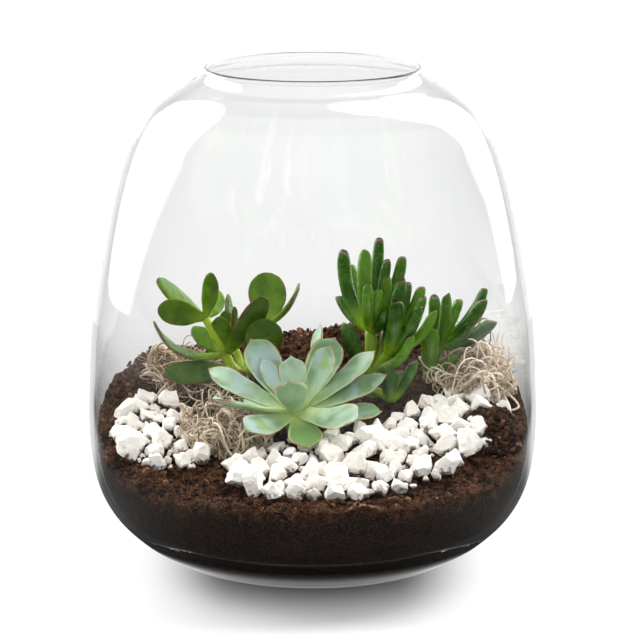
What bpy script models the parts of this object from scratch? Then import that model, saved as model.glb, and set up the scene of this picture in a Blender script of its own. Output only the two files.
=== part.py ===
"""Open glass terrarium jar planted with three succulents, white gravel and dry moss.

Metres, +Z up, origin at the middle of the jar's foot, the front towards -Y. The jar is a turned glass
shell; everything else stands or lies on the soil inside it. Run it in Blender 4.5:
blender --background --python part.py
"""
import math
import random

import bmesh
import bpy
from mathutils import Matrix, Vector, noise
from mathutils.bvhtree import BVHTree

MM = 0.001

# Jar: blown glass, widest below the middle, with a short neck and a fire-polished lip.
JAR_HEIGHT = 278 * MM
WALL = 3.5 * MM
FLOOR_THICKNESS = 8 * MM
THICKENING_HEIGHT = 30 * MM
LIP_POINTS = 3
JAR_SIDES = 48
OUTLINE_SAG = 0.6 * MM
OUTLINE = [
    (66, 0), (75, 1.8), (84, 6), (98, 14.5), (112.5, 29), (121.5, 48), (125, 74), (124.5, 105),
    (122.5, 137), (117, 172), (108.5, 211), (99, 239), (91.5, 252.5), (81, 261.5), (70, 268),
    (63.5, 271.5), (60.5, 274.5), (60, 276.3),
]

# Soil: level along the front half of the glass and banked up towards the back.
FIT_GAP = 0.35 * MM
SOIL_FRONT = 57 * MM
SOIL_BANK = 45 * MM
BANK_FROM, BANK_TO = -105 * MM, 95 * MM
MOUND_HEIGHT, MOUND_SPREAD = 7 * MM, 32 * MM
MOUND_AT = Vector((20, 88)) * MM
LEFT_DROP = 5 * MM
CLOD_SIZE, CLOD_HEIGHT = 26 * MM, 2.2 * MM
GROUND_CELL = 10.5 * MM
GROUND_REACH = 135 * MM
SOIL_TOP = 125 * MM
HOLE_DEPTH = 12 * MM
HOLE_SIDES = 10

# Leaf outlines, from root to tip: (share of the length, share of the width, share of the thickness).
JADE_OUTLINE = [(0, 0.26, 0.95), (0.16, 0.5, 1), (0.38, 0.9, 1), (0.64, 1, 0.9), (0.85, 0.8, 0.7),
                (0.96, 0.42, 0.45)]
ROSETTE_OUTLINE = [(0, 0.45, 1), (0.3, 0.58, 1), (0.56, 0.88, 0.9), (0.77, 1, 0.75), (0.91, 0.75, 0.55),
                   (0.98, 0.3, 0.4)]
FINGER_OUTLINE = [(0, 0.6, 0.6), (0.2, 0.85, 0.85), (0.55, 1, 1), (0.88, 1, 1), (1, 0.68, 0.68)]
JADE_THICKNESS = 3.4
ROSETTE_THICKNESS = 3.6
ROSETTE_CUP = 0.22
LEAF_SIDES = 6

# Jade plant: forked stem, then each leaf's joint, tip, width, bow and the way its upper face looks.
JADE_ROOT = (-40, 36)
JADE_LOWER, JADE_FORK, JADE_UPPER = (-46, 31, 101), (-50, 30, 109), (-61, 26, 131)
JADE_REAR, JADE_CROWN, JADE_TWIN, JADE_FRONT = (-29, 50, 107), (-24, 55, 122), (-44, 44, 108), (-31, 25, 105)
JADE_LEAVES = [
    (JADE_UPPER, (-88, 20, 155), 14, 1.5, (1, -1, 1.4)),
    (JADE_UPPER, (-87, 9, 140), 14.5, 1, (0, -1, 0.25)),
    (JADE_UPPER, (-57, 21, 158), 11, 1.5, (-0.5, -1, 0.2)),
    (JADE_UPPER, (-53, 46, 142), 12.5, 1, (0.3, -1, 0.6)),
    (JADE_FORK, (-90, 16, 132), 13, 10, (0.5, -0.1, 0.85)),
    (JADE_FORK, (-69, 50, 121), 12, 1, (0.3, -0.8, 0.5)),
    (JADE_FORK, (-53, 24, 132), 12, 1, (0, -1, 0.2)),
    (JADE_FORK, (-27, 20, 145), 16, 3, (-0.4, 0.9, 0.3)),
    (JADE_TWIN, (-51, 50, 130), 11, 1, (0, -1, 0.2)),
    (JADE_TWIN, (-45, 43, 134), 8, 0.5, (1, -0.6, 0)),
    (JADE_TWIN, (-49, 60, 138), 11, 1, (1, -0.4, 0.3)),
    (JADE_FRONT, (-25, 15, 133), 21, 2, (0, 1, 0.2)),
    (JADE_CROWN, (-28, 72, 148), 22, 1, (0, -1, 0.2)),
    (JADE_CROWN, (-8, 71, 142), 12, 3, (-1, 0, 0.3)),
    (JADE_LOWER, (-84, 6, 103), 15, 1.5, (0, -0.8, 0.6)),
]

# Rosette: its heart, and each leaf's tip, width, bow and the way its upper face looks.
ROSETTE_ROOT = (-9, -20)
ROSETTE_HEART = (-9, -22, 88)
ROSETTE_LEAVES = [
    ((-57, -11, 109), 17, 3, (0, -0.5, 1)),
    ((-54, -38, 99), 15, 2, (0, 0.1, 1)),
    ((-36, -54, 86), 18, 3, (0.1, -0.7, 1)),
    ((-2, -52, 76), 20, 2, (0, -0.5, 1)),
    ((24, -50, 91), 20, 3, (0, -0.8, 1)),
    ((37, -18, 87), 16, 2, (0, -0.4, 1)),
    ((40, -8, 105), 15, 3, (-0.1, -0.5, 1)),
    ((34, -2, 117), 14, 3, (-0.3, -0.6, 1)),
    ((12, 4, 123), 20, 4, (-0.2, -1, 0.5)),
    ((4, 23, 127), 13, 4, (-0.9, -0.2, 0.4)),
    ((-34, -4, 124), 21, 4, (0.3, -1, 0.6)),
    ((-38, -4, 90), 15, 2, (0, 0, 1)),
    ((10, -22, 124), 15, 3, (-0.4, -1, 0.4)),
    ((-28, -10, 114), 11, 2, (0.6, -1, 0.3)),
    ((-12, -7, 115), 16, 2, (0, -1, 0.4)),
    ((1, -12, 111), 9, 2, (-1, -0.2, 0.4)),
    ((-13, -39, 108), 19, 3, (0, 1, 0.3)),
]

# Finger jade: a forked clump and a single stem, with each leaf's joint, tip, width and bow.
FINGER_LEFT_ROOT = (33, 21)
FINGER_LEFT_HEAD, FINGER_LEFT_LOW = (33, 24, 124), (33, 20, 100)
FINGER_FORK_LOW, FINGER_FORK, FINGER_SPUR = (37, 18, 104), (43, 16, 113), (44, 9, 87)
FINGER_LEFT_LEAVES = [
    (FINGER_LEFT_HEAD, (18, 42, 166), 7.6, 8),
    (FINGER_LEFT_HEAD, (15, 48, 139), 6, 3),
    (FINGER_LEFT_HEAD, (22, 54, 156), 6, 4),
    (FINGER_LEFT_HEAD, (30, 19, 170), 7.8, 4),
    (FINGER_LEFT_HEAD, (38, 44, 173), 6, 2),
    (FINGER_LEFT_HEAD, (42, 36, 162), 6, 2),
    (FINGER_LEFT_HEAD, (51, 36, 164), 6.6, 4),
    (FINGER_LEFT_HEAD, (31, 8, 153), 6, 4),
    (FINGER_LEFT_HEAD, (37, 11, 150), 5.5, 2),
    (FINGER_LEFT_HEAD, (42, 15, 156), 5.6, 3),
    (FINGER_LEFT_HEAD, (41, 10, 138), 5.6, 3),
    (FINGER_LEFT_HEAD, (34, 42, 150), 6, 2),
    (FINGER_LEFT_LOW, (20, 12, 130), 9.5, 3),
    (FINGER_FORK_LOW, (50, 30, 152), 8, 2),
    (FINGER_FORK, (47, 7, 144), 9, 3),
    (FINGER_FORK, (54, 36, 149), 6.4, 2),
    (FINGER_FORK, (62, 34, 147), 6.4, 3),
    (FINGER_FORK, (62, 24, 143), 6.4, 3),
    (FINGER_FORK, (59, 6, 141), 7.4, 3),
    (FINGER_FORK, (68, 14, 137), 6, 5),
    (FINGER_FORK_LOW, (55, 4, 125), 6.2, 5),
    (FINGER_FORK_LOW, (56, 20, 132), 7, 4),
    (FINGER_SPUR, (43, 8, 106), 7.8, 1),
    (FINGER_SPUR, (49, 15, 102), 6.5, 1),
    (FINGER_SPUR, (57, 14, 108), 6.5, 2),
]
FINGER_RIGHT_ROOT = (67, 38)
FINGER_RIGHT_LOW, FINGER_RIGHT_HEAD = (67, 36, 99), (71, 40, 112)
FINGER_RIGHT_LEAVES = [
    (FINGER_RIGHT_LOW, (76, 33, 143), 7, 3),
    (FINGER_RIGHT_HEAD, (70, 46, 139), 6.4, 2),
    (FINGER_RIGHT_HEAD, (78, 54, 137), 5.4, 2),
    (FINGER_RIGHT_HEAD, (85, 58, 135), 6, 2),
    (FINGER_RIGHT_HEAD, (100, 56, 142), 6, 5),
    (FINGER_RIGHT_HEAD, (97, 32, 140), 8.6, 4),
    (FINGER_RIGHT_HEAD, (104, 46, 125), 8, 4),
    (FINGER_RIGHT_HEAD, (90, 30, 128), 6.5, 4),
    (FINGER_RIGHT_LOW, (67, 24, 124), 9.5, 3),
    (FINGER_RIGHT_LOW, (81, 30, 109), 6.5, 3),
]

# Gravel: crushed white marble on two patches, given by the outline of each and loose outliers.
BED_THICKNESS = 2.2 * MM
STONE_SPACING = 10.5 * MM
STONE_RADIUS = (5.4 * MM, 8.4 * MM)
STONE_REACH = 116.5 * MM
STONE_CLEARANCE = 0.5 * MM
GRAVEL_LEFT = [
    (-110, -22), (-101, -44), (-87, -58), (-66, -58), (-54, -46), (-58, -34), (-70, -20), (-70, 4),
    (-84, 16), (-102, 14),
]
GRAVEL_FRONT = [
    (-48, -58), (-38, -80), (-16, -96), (5, -100), (46, -86), (70, -69), (82, -48), (103, -28), (111, -12),
    (104, 14), (84, 20), (70, 10), (58, -2), (46, -8), (34, -18), (18, -29), (-10, -34), (-30, -46),
]

# Moss: clumps of dry curled strands, given by centre, reach, core size and number of strands.
MOSS_CLUMPS = [
    ("moss_left", (-80, 46), (24, 22, 20), 14, 3),
    ("moss_front", (-50, -20), (22, 18, 16), 14, 9),
    ("moss_right", (93, 36), (23, 20, 22), 16, 11),
]
MOSS_CORE_SHARE = 0.55
STRAND_RADIUS = 0.65 * MM
STRAND_STEP = 6.5 * MM
STRAND_POINTS = 7
STRAND_CURL = 0.75
MOSS_LIFT, MOSS_HEIGHT = 4.5 * MM, 20 * MM
MOSS_REACH = 116 * MM
PLANT_CLEARANCE = 0.8 * MM

JADE_GREEN = (0.10, 0.24, 0.03)
FINGER_GREEN = (0.07, 0.22, 0.03)
ROSETTE_GREEN = (0.30, 0.47, 0.36)
PEAT_BROWN = (0.055, 0.025, 0.014)
MARBLE_WHITE = (0.86, 0.83, 0.79)
MOSS_GREY = (0.48, 0.40, 0.29)
GLASS_TINT = (0.90, 0.96, 0.94)


def clear_scene():
    for old in list(bpy.data.objects):
        bpy.data.objects.remove(old, do_unlink=True)


def new_collection(name):
    made = bpy.data.collections.new(name)
    bpy.context.scene.collection.children.link(made)
    return made


def material(name, colour, roughness, transmission=0.0):
    made = bpy.data.materials.new(name)
    made.use_nodes = True
    shader = made.node_tree.nodes["Principled BSDF"]
    shader.inputs["Base Color"].default_value = (*colour, 1)
    shader.inputs["Roughness"].default_value = roughness
    shader.inputs["Metallic"].default_value = 0
    shader.inputs["Transmission Weight"].default_value = transmission
    return made


def new_object(name, mesh, collection, look=None):
    made = bpy.data.objects.new(name, mesh)
    collection.objects.link(made)
    if look:
        mesh.materials.clear()
        mesh.materials.append(look)
    return made


def new_cutter(name, mesh, collection):
    made = new_object(name, mesh, collection)
    made.hide_render = True
    made.display_type = "WIRE"
    return made


def mesh_from(shape, name):
    """The finished mesh of a bmesh, with its faces pointing out."""
    bmesh.ops.recalc_face_normals(shape, faces=shape.faces)
    mesh = bpy.data.meshes.new(name)
    shape.to_mesh(mesh)
    shape.free()
    return mesh


def smooth(share):
    share = min(1.0, max(0.0, share))
    return share * share * (3 - 2 * share)


def settle(obj, look):
    """Applies the object's modifiers to its mesh."""
    bpy.context.view_layer.update()
    graph = bpy.context.evaluated_depsgraph_get()
    mesh = bpy.data.meshes.new_from_object(obj.evaluated_get(graph))
    obj.modifiers.clear()
    mesh.materials.clear()
    mesh.materials.append(look)
    obj.data = mesh


def cut(obj, cutter, solver="EXACT"):
    step = obj.modifiers.new("cut", "BOOLEAN")
    step.operation = "DIFFERENCE"
    step.solver = solver
    step.object = cutter


def body_faces(shape):
    """The faces of each separate skin of the mesh."""
    left = set(shape.faces)
    while left:
        found, queue = set(), [left.pop()]
        while queue:
            face = queue.pop()
            found.add(face)
            for edge in face.edges:
                for other in edge.link_faces:
                    if other in left:
                        left.discard(other)
                        queue.append(other)
        yield found


def skin_volume(faces):
    volume = 0
    for face in faces:
        first, *others = [vertex.co for vertex in face.verts]
        for second, third in zip(others, others[1:]):
            volume += first.dot(second.cross(third)) / 6
    return volume


def keep_main_body(mesh):
    """Fills sealed hollows and drops loose scraps: only the largest skin stays."""
    shape = bmesh.new()
    shape.from_mesh(mesh)
    skins = sorted(body_faces(shape), key=skin_volume)
    for skin in skins[:-1]:
        bmesh.ops.delete(shape, geom=list(skin), context="FACES")
    shape.to_mesh(mesh)
    shape.free()


def fuse(obj, meshes, look):
    """Joins the overlapping meshes to the object, by a Boolean union on a collection."""
    others = new_collection(obj.name + "_repeats")
    for number, mesh in enumerate(meshes):
        new_object(f"{obj.name}_repeat_{number}", mesh, others)
    step = obj.modifiers.new("union", "BOOLEAN")
    step.operation = "UNION"
    step.operand_type = "COLLECTION"
    step.collection = others
    step.solver = "MANIFOLD"
    settle(obj, look)
    keep_main_body(obj.data)
    for part in list(others.objects):
        bpy.data.objects.remove(part, do_unlink=True)
    bpy.data.collections.remove(others)


# Jar


def curve_through(points, steps):
    """A smooth (Catmull-Rom) curve through the points, with `steps` to each stretch."""
    ends = [points[0] * 2 - points[1], *points, points[-1] * 2 - points[-2]]
    found = [points[0]]
    for before, start, end, after in zip(ends, ends[1:], ends[2:], ends[3:]):
        for step in range(1, steps + 1):
            t = step / steps
            found.append(
                0.5 * (2 * start + (end - before) * t + (2 * before - 5 * start + 4 * end - after) * t ** 2
                       + (3 * start - 3 * end + after - before) * t ** 3)
            )
    return found


def thinned(points, sag):
    """Fewer points, such that the curve strays no further than `sag` from its chords."""
    kept = [points[0]]
    last = 0
    for index in range(2, len(points)):
        start, along = points[last], points[index] - points[last]
        strays = [abs(along.cross(point - start)) / along.length for point in points[last + 1:index]]
        if max(strays) > sag:
            last = index - 1
            kept.append(points[last])
    return kept + [points[-1]]


def wall_thickness(height):
    return WALL + (FLOOR_THICKNESS - WALL) * max(0.0, 1 - height / THICKENING_HEIGHT) ** 2


def outer_outline():
    """(radius, height) points up the outside of the jar, from the foot's edge to under the lip."""
    return thinned(curve_through([Vector(point) * MM for point in OUTLINE], 6), OUTLINE_SAG)


def inner_outline(extra=0.0):
    """The inside of the jar's wall, upwards, moved in by `extra`."""
    points = outer_outline()
    found = [points[0] + Vector((0, FLOOR_THICKNESS + extra))]
    for below, point, above in zip(points, points[1:], points[2:] + [points[-1]]):
        along = above - below
        inward = Vector((-along.y, along.x)).normalized()
        moved = point + inward * (wall_thickness(point.y) + extra)
        if moved.x > found[-1].x and moved.y > found[-1].y or moved.y > 60 * MM:
            found.append(moved)
    return found


def turned(name, profile, collection, look):
    """A body of revolution about Z from (radius, height) points that run down its outer side."""
    mesh = bpy.data.meshes.new(name)
    mesh.from_pydata([(p.x, 0, p.y) for p in profile], [(i, i + 1) for i in range(len(profile) - 1)], [])
    made = new_object(name, mesh, collection, look)
    screw = made.modifiers.new("turn", "SCREW")
    screw.steps = screw.render_steps = JAR_SIDES
    screw.use_merge_vertices = True
    screw.merge_threshold = 0.00005
    screw.use_smooth_shade = True
    return made


def lip(outer, inner):
    """The rounded lip that joins the inside of the wall to the outside, from inner to outer."""
    centre = (outer + inner) / 2
    half = (outer - inner) / 2
    rise = JAR_HEIGHT - centre.y
    angles = [math.pi * number / (LIP_POINTS + 1) for number in range(1, LIP_POINTS + 1)]
    return [centre - half * math.cos(a) + Vector((0, rise * math.sin(a))) for a in angles]


def glass_jar(collection, look):
    outer, inner = outer_outline(), inner_outline()
    floor, foot = Vector((0, FLOOR_THICKNESS)), Vector((0, 0))
    return turned("glass_jar", [floor, *inner, *lip(outer[-1], inner[-1]), *outer[::-1], foot], collection, look)


# Soil


def soil_height(x, y):
    bank = smooth((y - BANK_FROM) / (BANK_TO - BANK_FROM))
    away = (Vector((x, y)) - MOUND_AT).length / MOUND_SPREAD
    mound = MOUND_HEIGHT * math.exp(-away * away)
    drop = LEFT_DROP * smooth((-x - 40 * MM) / (60 * MM)) * smooth(y / (50 * MM))
    clods = CLOD_HEIGHT * noise.noise(Vector((x, y, 0)) / CLOD_SIZE)
    return SOIL_FRONT + SOIL_BANK * bank + mound - drop + clods


def ground_cutter(name, lift, far_side, cutters):
    """All that lies between the ground surface, raised by `lift`, and the level `far_side`."""
    cells = round(2 * GROUND_REACH / GROUND_CELL)
    shape = bmesh.new()
    bmesh.ops.create_grid(shape, x_segments=cells, y_segments=cells, size=GROUND_REACH)
    bmesh.ops.triangulate(shape, faces=shape.faces, quad_method="FIXED")
    for vertex in shape.verts:
        vertex.co.z = soil_height(vertex.co.x, vertex.co.y) + lift
    grown = bmesh.ops.extrude_face_region(shape, geom=shape.faces[:])
    for item in grown["geom"]:
        if isinstance(item, bmesh.types.BMVert):
            item.co.z = far_side
    return new_cutter(name, mesh_from(shape, name), cutters)


def soil(collection, cutters, look, stems):
    """The soil fills the jar, 0.35 mm inside the glass, and has a plain hole for each stem."""
    wall = inner_outline(FIT_GAP)
    side = [point for point in wall if point.y < SOIL_TOP]
    below, above = side[-1], wall[len(side)]
    rim = below.lerp(above, (SOIL_TOP - below.y) / (above.y - below.y))
    profile = [Vector((0, SOIL_TOP)), rim, *side[::-1], Vector((0, side[0].y))]
    made = turned("soil", profile, collection, look)
    cut(made, ground_cutter("sky_cutter", 0, 2 * SOIL_TOP, cutters))
    for name, (x, y), radius in stems:
        width = (radius * MM + FIT_GAP) / math.cos(math.pi / HOLE_SIDES)
        shape = bmesh.new()
        bmesh.ops.create_cone(shape, cap_ends=True, segments=HOLE_SIDES, radius1=width, radius2=width,
                              depth=4 * HOLE_DEPTH)
        hole = new_cutter(name + "_hole", mesh_from(shape, name + "_hole"), cutters)
        hole.location = (x * MM, y * MM, soil_height(x * MM, y * MM) + HOLE_DEPTH)
        cut(made, hole)
    settle(made, look)
    return made


# Plants


def grown(spine, widths, depths, facing, cup=0.0, sides=LEAF_SIDES, end=0.0):
    """A closed leaf or stem: flattened rings along a line, its upper face turned to `facing`.

    `end` moves the middle of the last ring on past it, or back to leave a dish when it is negative.
    """
    shape = bmesh.new()
    rings = []
    for index, point in enumerate(spine):
        along = (spine[min(index + 1, len(spine) - 1)] - spine[max(index - 1, 0)]).normalized()
        up = (facing - along * facing.dot(along)).normalized()
        across = along.cross(up)
        ring = []
        for corner in range(sides):
            angle = 2 * math.pi * corner / sides
            sideways, lift = math.cos(angle), math.sin(angle)
            rise = depths[index] * lift + cup * widths[index] * sideways ** 2
            ring.append(shape.verts.new(point + across * widths[index] * sideways + up * rise))
        rings.append(ring)
    for lower, upper in zip(rings, rings[1:]):
        for corner in range(sides):
            after = (corner + 1) % sides
            shape.faces.new((lower[corner], lower[after], upper[after], upper[corner]))
    shape.faces.new(rings[0][::-1])
    top = sum((vertex.co for vertex in rings[-1]), Vector()) / sides
    tip = shape.verts.new(top + (spine[-1] - spine[-2]).normalized() * end)
    for corner in range(sides):
        shape.faces.new((rings[-1][corner], rings[-1][(corner + 1) % sides], tip))
    return mesh_from(shape, "grown")


def leaf(root, tip, width, thickness, bow, facing, outline, cup=0.0, end=0.0):
    """A leaf from its root to its tip, in millimetres, sagging by `bow` in the middle."""
    root, tip = Vector(root), Vector(tip)
    facing = Vector(facing).normalized()
    along = (tip - root).normalized()
    sag = (facing - along * facing.dot(along)).normalized() * bow
    spine = [(root.lerp(tip, share) - sag * 4 * share * (1 - share)) * MM for share, _, _ in outline]
    widths = [width / 2 * wide * MM for _, wide, _ in outline]
    depths = [thickness / 2 * thick * MM for _, _, thick in outline]
    return grown(spine, widths, depths, facing, cup, LEAF_SIDES, end)


def finger(root, tip, width, bow):
    """A round leaf with a small dish at its blunt tip, bending upwards and outwards."""
    along = Vector(tip) - Vector(root)
    outwards = Vector((along.x, along.y, 0.01)).normalized()
    facing = Vector((0, 0, 1)) - outwards * 0.3
    return leaf(root, tip, width, width * 0.9, bow, facing, FINGER_OUTLINE, end=-0.12 * width * MM)


def stem(points, radii):
    """A round stem through the points, in millimetres."""
    points = [Vector(point) * MM for point in points]
    radii = [radius * MM for radius in radii]
    facing = Vector((0.3, -1, 0.1))
    return grown(points, radii, radii, facing, sides=7, end=0.5 * MM)


def rooted(root, radius, onwards, radii):
    """A stem that stands in its hole in the soil and goes on through the given points."""
    x, y = root
    ground = soil_height(x * MM, y * MM) / MM
    foot = (x, y, ground - HOLE_DEPTH / MM + 0.35)
    return stem([foot, (x, y, ground + 1), *onwards], [radius, radius, *radii])


def plant(name, meshes, collection, look):
    made = new_object(name, meshes[0], collection, look)
    fuse(made, meshes[1:], look)
    made.data.shade_smooth()
    return made


def jade_plant(collection, look):
    x, y = JADE_ROOT
    meshes = [
        rooted(JADE_ROOT, 3.6, [JADE_LOWER, JADE_FORK, JADE_UPPER], [3.2, 3.0, 2.3]),
        stem([(x, y + 0.6, 97), (-36, 42, 102), JADE_REAR, JADE_CROWN], [2.6, 2.8, 2.6, 2.2]),
        stem([(x - 1, y, 98.5), (-42, 41, 103), JADE_TWIN], [2.2, 2.5, 2.2]),
        stem([(x + 0.4, y - 1, 97), (-36, 30, 100), JADE_FRONT], [2.3, 2.6, 2.2]),
    ]
    for root, tip, width, bow, facing in JADE_LEAVES:
        meshes.append(leaf(root, tip, width, JADE_THICKNESS, bow, facing, JADE_OUTLINE, end=1.2 * MM))
    return plant("jade_plant", meshes, collection, look)


def rosette(collection, look):
    x, y, z = ROSETTE_HEART
    meshes = [rooted(ROSETTE_ROOT, 5.5, [(x, y, z - 6), (x, y, z + 3)], [6, 4.5])]
    for tip, width, bow, facing in ROSETTE_LEAVES:
        meshes.append(leaf(ROSETTE_HEART, tip, width, ROSETTE_THICKNESS, bow, facing, ROSETTE_OUTLINE,
                           ROSETTE_CUP, end=1.5 * MM))
    return plant("rosette_plant", meshes, collection, look)


def finger_plant_left(collection, look):
    x, y = FINGER_LEFT_ROOT
    meshes = [
        rooted(FINGER_LEFT_ROOT, 3.6, [FINGER_LEFT_LOW, FINGER_LEFT_HEAD], [3.3, 3.4]),
        stem([(x + 0.5, y, 93), FINGER_FORK_LOW, FINGER_FORK], [2.7, 3, 2.8]),
        stem([(x, y - 0.5, 90.5), (39, 14, 90), FINGER_SPUR], [2.2, 2.4, 2.2]),
    ]
    meshes += [finger(*row) for row in FINGER_LEFT_LEAVES]
    return plant("finger_plant_left", meshes, collection, look)


def finger_plant_right(collection, look):
    meshes = [rooted(FINGER_RIGHT_ROOT, 3.6, [FINGER_RIGHT_LOW, FINGER_RIGHT_HEAD], [3.4, 3.4])]
    meshes += [finger(*row) for row in FINGER_RIGHT_LEAVES]
    return plant("finger_plant_right", meshes, collection, look)


# Gravel and moss


def obstacle(obj):
    shape = bmesh.new()
    shape.from_mesh(obj.data)
    tree = BVHTree.FromBMesh(shape)
    shape.free()
    return tree


def is_clear(point, distance, obstacles):
    return all(tree.find_nearest(point, distance)[0] is None for tree in obstacles)


def is_inside(x, y, outline):
    """Whether the point lies inside the closed outline (even-odd rule)."""
    inside = False
    for (x1, y1), (x2, y2) in zip(outline, outline[1:] + outline[:1]):
        if (y1 > y) != (y2 > y) and x < x1 + (x2 - x1) * (y - y1) / (y2 - y1):
            inside = not inside
    return inside


def prism(outline, bottom, top):
    shape = bmesh.new()
    face = shape.faces.new([shape.verts.new((x * MM, y * MM, bottom)) for x, y in outline])
    grown_part = bmesh.ops.extrude_face_region(shape, geom=[face])
    for item in grown_part["geom"]:
        if isinstance(item, bmesh.types.BMVert):
            item.co.z = top
    return mesh_from(shape, "prism")


def stone(centre, radius, draw):
    """A blocky broken stone: the hull of a leaning box whose corners are knocked in at random."""
    lean = Vector((draw.uniform(-0.5, 0.5), draw.uniform(-0.5, 0.5), 1)).normalized()
    spin = lean.to_track_quat("Z", "Y").to_matrix() @ Matrix.Rotation(draw.uniform(0, 3.14), 3, "Z")
    size = Vector((draw.uniform(0.7, 0.85), draw.uniform(0.55, 0.7), draw.uniform(0.5, 0.65))) * radius
    shape = bmesh.new()
    for corner in range(8):
        signs = Vector((corner & 1, corner >> 1 & 1, corner >> 2 & 1)) * 2 - Vector((1, 1, 1))
        broken = Vector([sign * draw.uniform(0.55, 1.1) * side for sign, side in zip(signs, size)])
        shape.verts.new(centre + spin @ broken)
    bmesh.ops.convex_hull(shape, input=shape.verts[:])
    loose = [vertex for vertex in shape.verts if not vertex.link_faces]
    bmesh.ops.delete(shape, geom=loose, context="VERTS")
    return mesh_from(shape, "stone")


def stones_on(outline, seed, obstacles):
    """Stones packed at random on the patch, clear of the glass and of everything that is in the way."""
    draw = random.Random(seed)
    placed, meshes = [], []
    low_x, high_x = min(x for x, _ in outline), max(x for x, _ in outline)
    low_y, high_y = min(y for _, y in outline), max(y for _, y in outline)
    for _ in range(4000):
        x, y = draw.uniform(low_x, high_x), draw.uniform(low_y, high_y)
        radius = draw.uniform(*STONE_RADIUS)
        if not is_inside(x, y, outline) or math.hypot(x, y) * MM + radius * 1.1 > STONE_REACH:
            continue
        height = soil_height(x * MM, y * MM) + radius * draw.uniform(0.55, 0.85)
        centre = Vector((x * MM, y * MM, height))
        if any((centre - other).length < STONE_SPACING for other in placed):
            continue
        if not is_clear(centre, radius * 1.2 + STONE_CLEARANCE, obstacles):
            continue
        placed.append(centre)
        meshes.append(stone(centre, radius, draw))
    return meshes


def gravel(name, outline, seed, collection, look, obstacles, sky, earth):
    """Stones sunk in a thin bed that follows the soil, 0.35 mm above it."""
    made = new_object(name, prism(outline, SOIL_FRONT - 10 * MM, SOIL_TOP + 20 * MM), collection, look)
    cut(made, sky, "MANIFOLD")
    settle(made, look)
    fuse(made, stones_on(outline, seed, obstacles), look)
    cut(made, earth, "MANIFOLD")
    settle(made, look)
    keep_main_body(made.data)
    return made


def strand(start, heading, draw, obstacles):
    """A curled strand of moss as a thin three-sided tube, or None where there is no room for it."""
    points = [start]
    axis = Vector((draw.uniform(-1, 1), draw.uniform(-1, 1), draw.uniform(-1, 1))).normalized()
    for _ in range(STRAND_POINTS - 1):
        axis = (axis + 0.35 * Vector((draw.uniform(-1, 1), draw.uniform(-1, 1), draw.uniform(-1, 1)))).normalized()
        heading = (heading + STRAND_CURL * axis.cross(heading)).normalized()
        ground = soil_height(points[-1].x, points[-1].y)
        if points[-1].z + heading.z * STRAND_STEP < ground + MOSS_LIFT:
            heading = (heading + Vector((0, 0, 1.2))).normalized()
        if points[-1].z > ground + MOSS_HEIGHT:
            heading = (heading - Vector((0, 0, 0.8))).normalized()
        points.append(points[-1] + heading * STRAND_STEP)
    for point in points:
        if math.hypot(point.x, point.y) > MOSS_REACH or point.z < soil_height(point.x, point.y) + MOSS_LIFT / 2:
            return None
    between = [(a + b) / 2 for a, b in zip(points, points[1:])]
    if not all(is_clear(point, STRAND_STEP / 4 + PLANT_CLEARANCE, obstacles) for point in points + between):
        return None
    radii = [STRAND_RADIUS] * STRAND_POINTS
    return grown(points, radii, radii, Vector((0.2, 0.1, 1)), sides=3, end=STRAND_RADIUS)


def moss_clump(name, at, reach, strands, seed, collection, look, obstacles, earth):
    """A tangle of strands that stands out of a smaller, lumpy core on the soil."""
    draw = random.Random(seed)
    x, y = at
    middle = Vector((x * MM, y * MM, soil_height(x * MM, y * MM) + 2 * MM))
    shape = bmesh.new()
    bmesh.ops.create_icosphere(shape, subdivisions=2, radius=1)
    for vertex in shape.verts:
        lump = 1 + 0.35 * noise.noise(vertex.co * 2.2 + Vector((seed, 0, 0)))
        scale = Vector((reach[0], reach[1], reach[2] * 0.8)) * MOSS_CORE_SHARE * MM * lump
        vertex.co = middle + vertex.co * scale
    made = new_object(name, mesh_from(shape, name), collection, look)
    meshes = []
    for _ in range(600):
        if len(meshes) == strands:
            break
        angle = draw.uniform(0, 2 * math.pi)
        start = middle + Vector((reach[0] * math.cos(angle), reach[1] * math.sin(angle), reach[2] * 0.6)) * 0.3 * MM
        heading = Vector((math.cos(angle), math.sin(angle), draw.uniform(0, 0.9))).normalized()
        grown_strand = strand(start, heading, draw, obstacles)
        if grown_strand:
            meshes.append(grown_strand)
    fuse(made, meshes, look)
    cut(made, earth, "MANIFOLD")
    settle(made, look)
    keep_main_body(made.data)
    return made


def main():
    clear_scene()
    parts = new_collection("terrarium")
    cutters = new_collection("cutters")
    glass_jar(parts, material("clear_glass", GLASS_TINT, 0.02, 1.0))
    stems = [("jade", JADE_ROOT, 3.6), ("rosette", ROSETTE_ROOT, 5.5), ("finger_left", FINGER_LEFT_ROOT, 3.6),
             ("finger_right", FINGER_RIGHT_ROOT, 3.6)]
    soil(parts, cutters, material("peat_soil", PEAT_BROWN, 0.95), stems)
    finger_look = material("finger_leaf", FINGER_GREEN, 0.3)
    obstacles = [obstacle(made) for made in (
        jade_plant(parts, material("jade_leaf", JADE_GREEN, 0.35)),
        rosette(parts, material("rosette_leaf", ROSETTE_GREEN, 0.5)),
        finger_plant_left(parts, finger_look),
        finger_plant_right(parts, finger_look),
    )]
    above_bed = ground_cutter("above_bed_cutter", BED_THICKNESS, 2 * SOIL_TOP, cutters)
    earth = ground_cutter("earth_cutter", FIT_GAP, 0, cutters)
    dry_moss = material("dry_moss", MOSS_GREY, 0.9)
    moss = [moss_clump(*row, parts, dry_moss, obstacles, earth) for row in MOSS_CLUMPS]
    obstacles += [obstacle(clump) for clump in moss]
    marble = material("white_marble", MARBLE_WHITE, 0.8)
    for name, outline, seed in (("gravel_left", GRAVEL_LEFT, 4), ("gravel_front", GRAVEL_FRONT, 7)):
        gravel(name, outline, seed, parts, marble, obstacles, above_bed, earth)


main()
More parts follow.
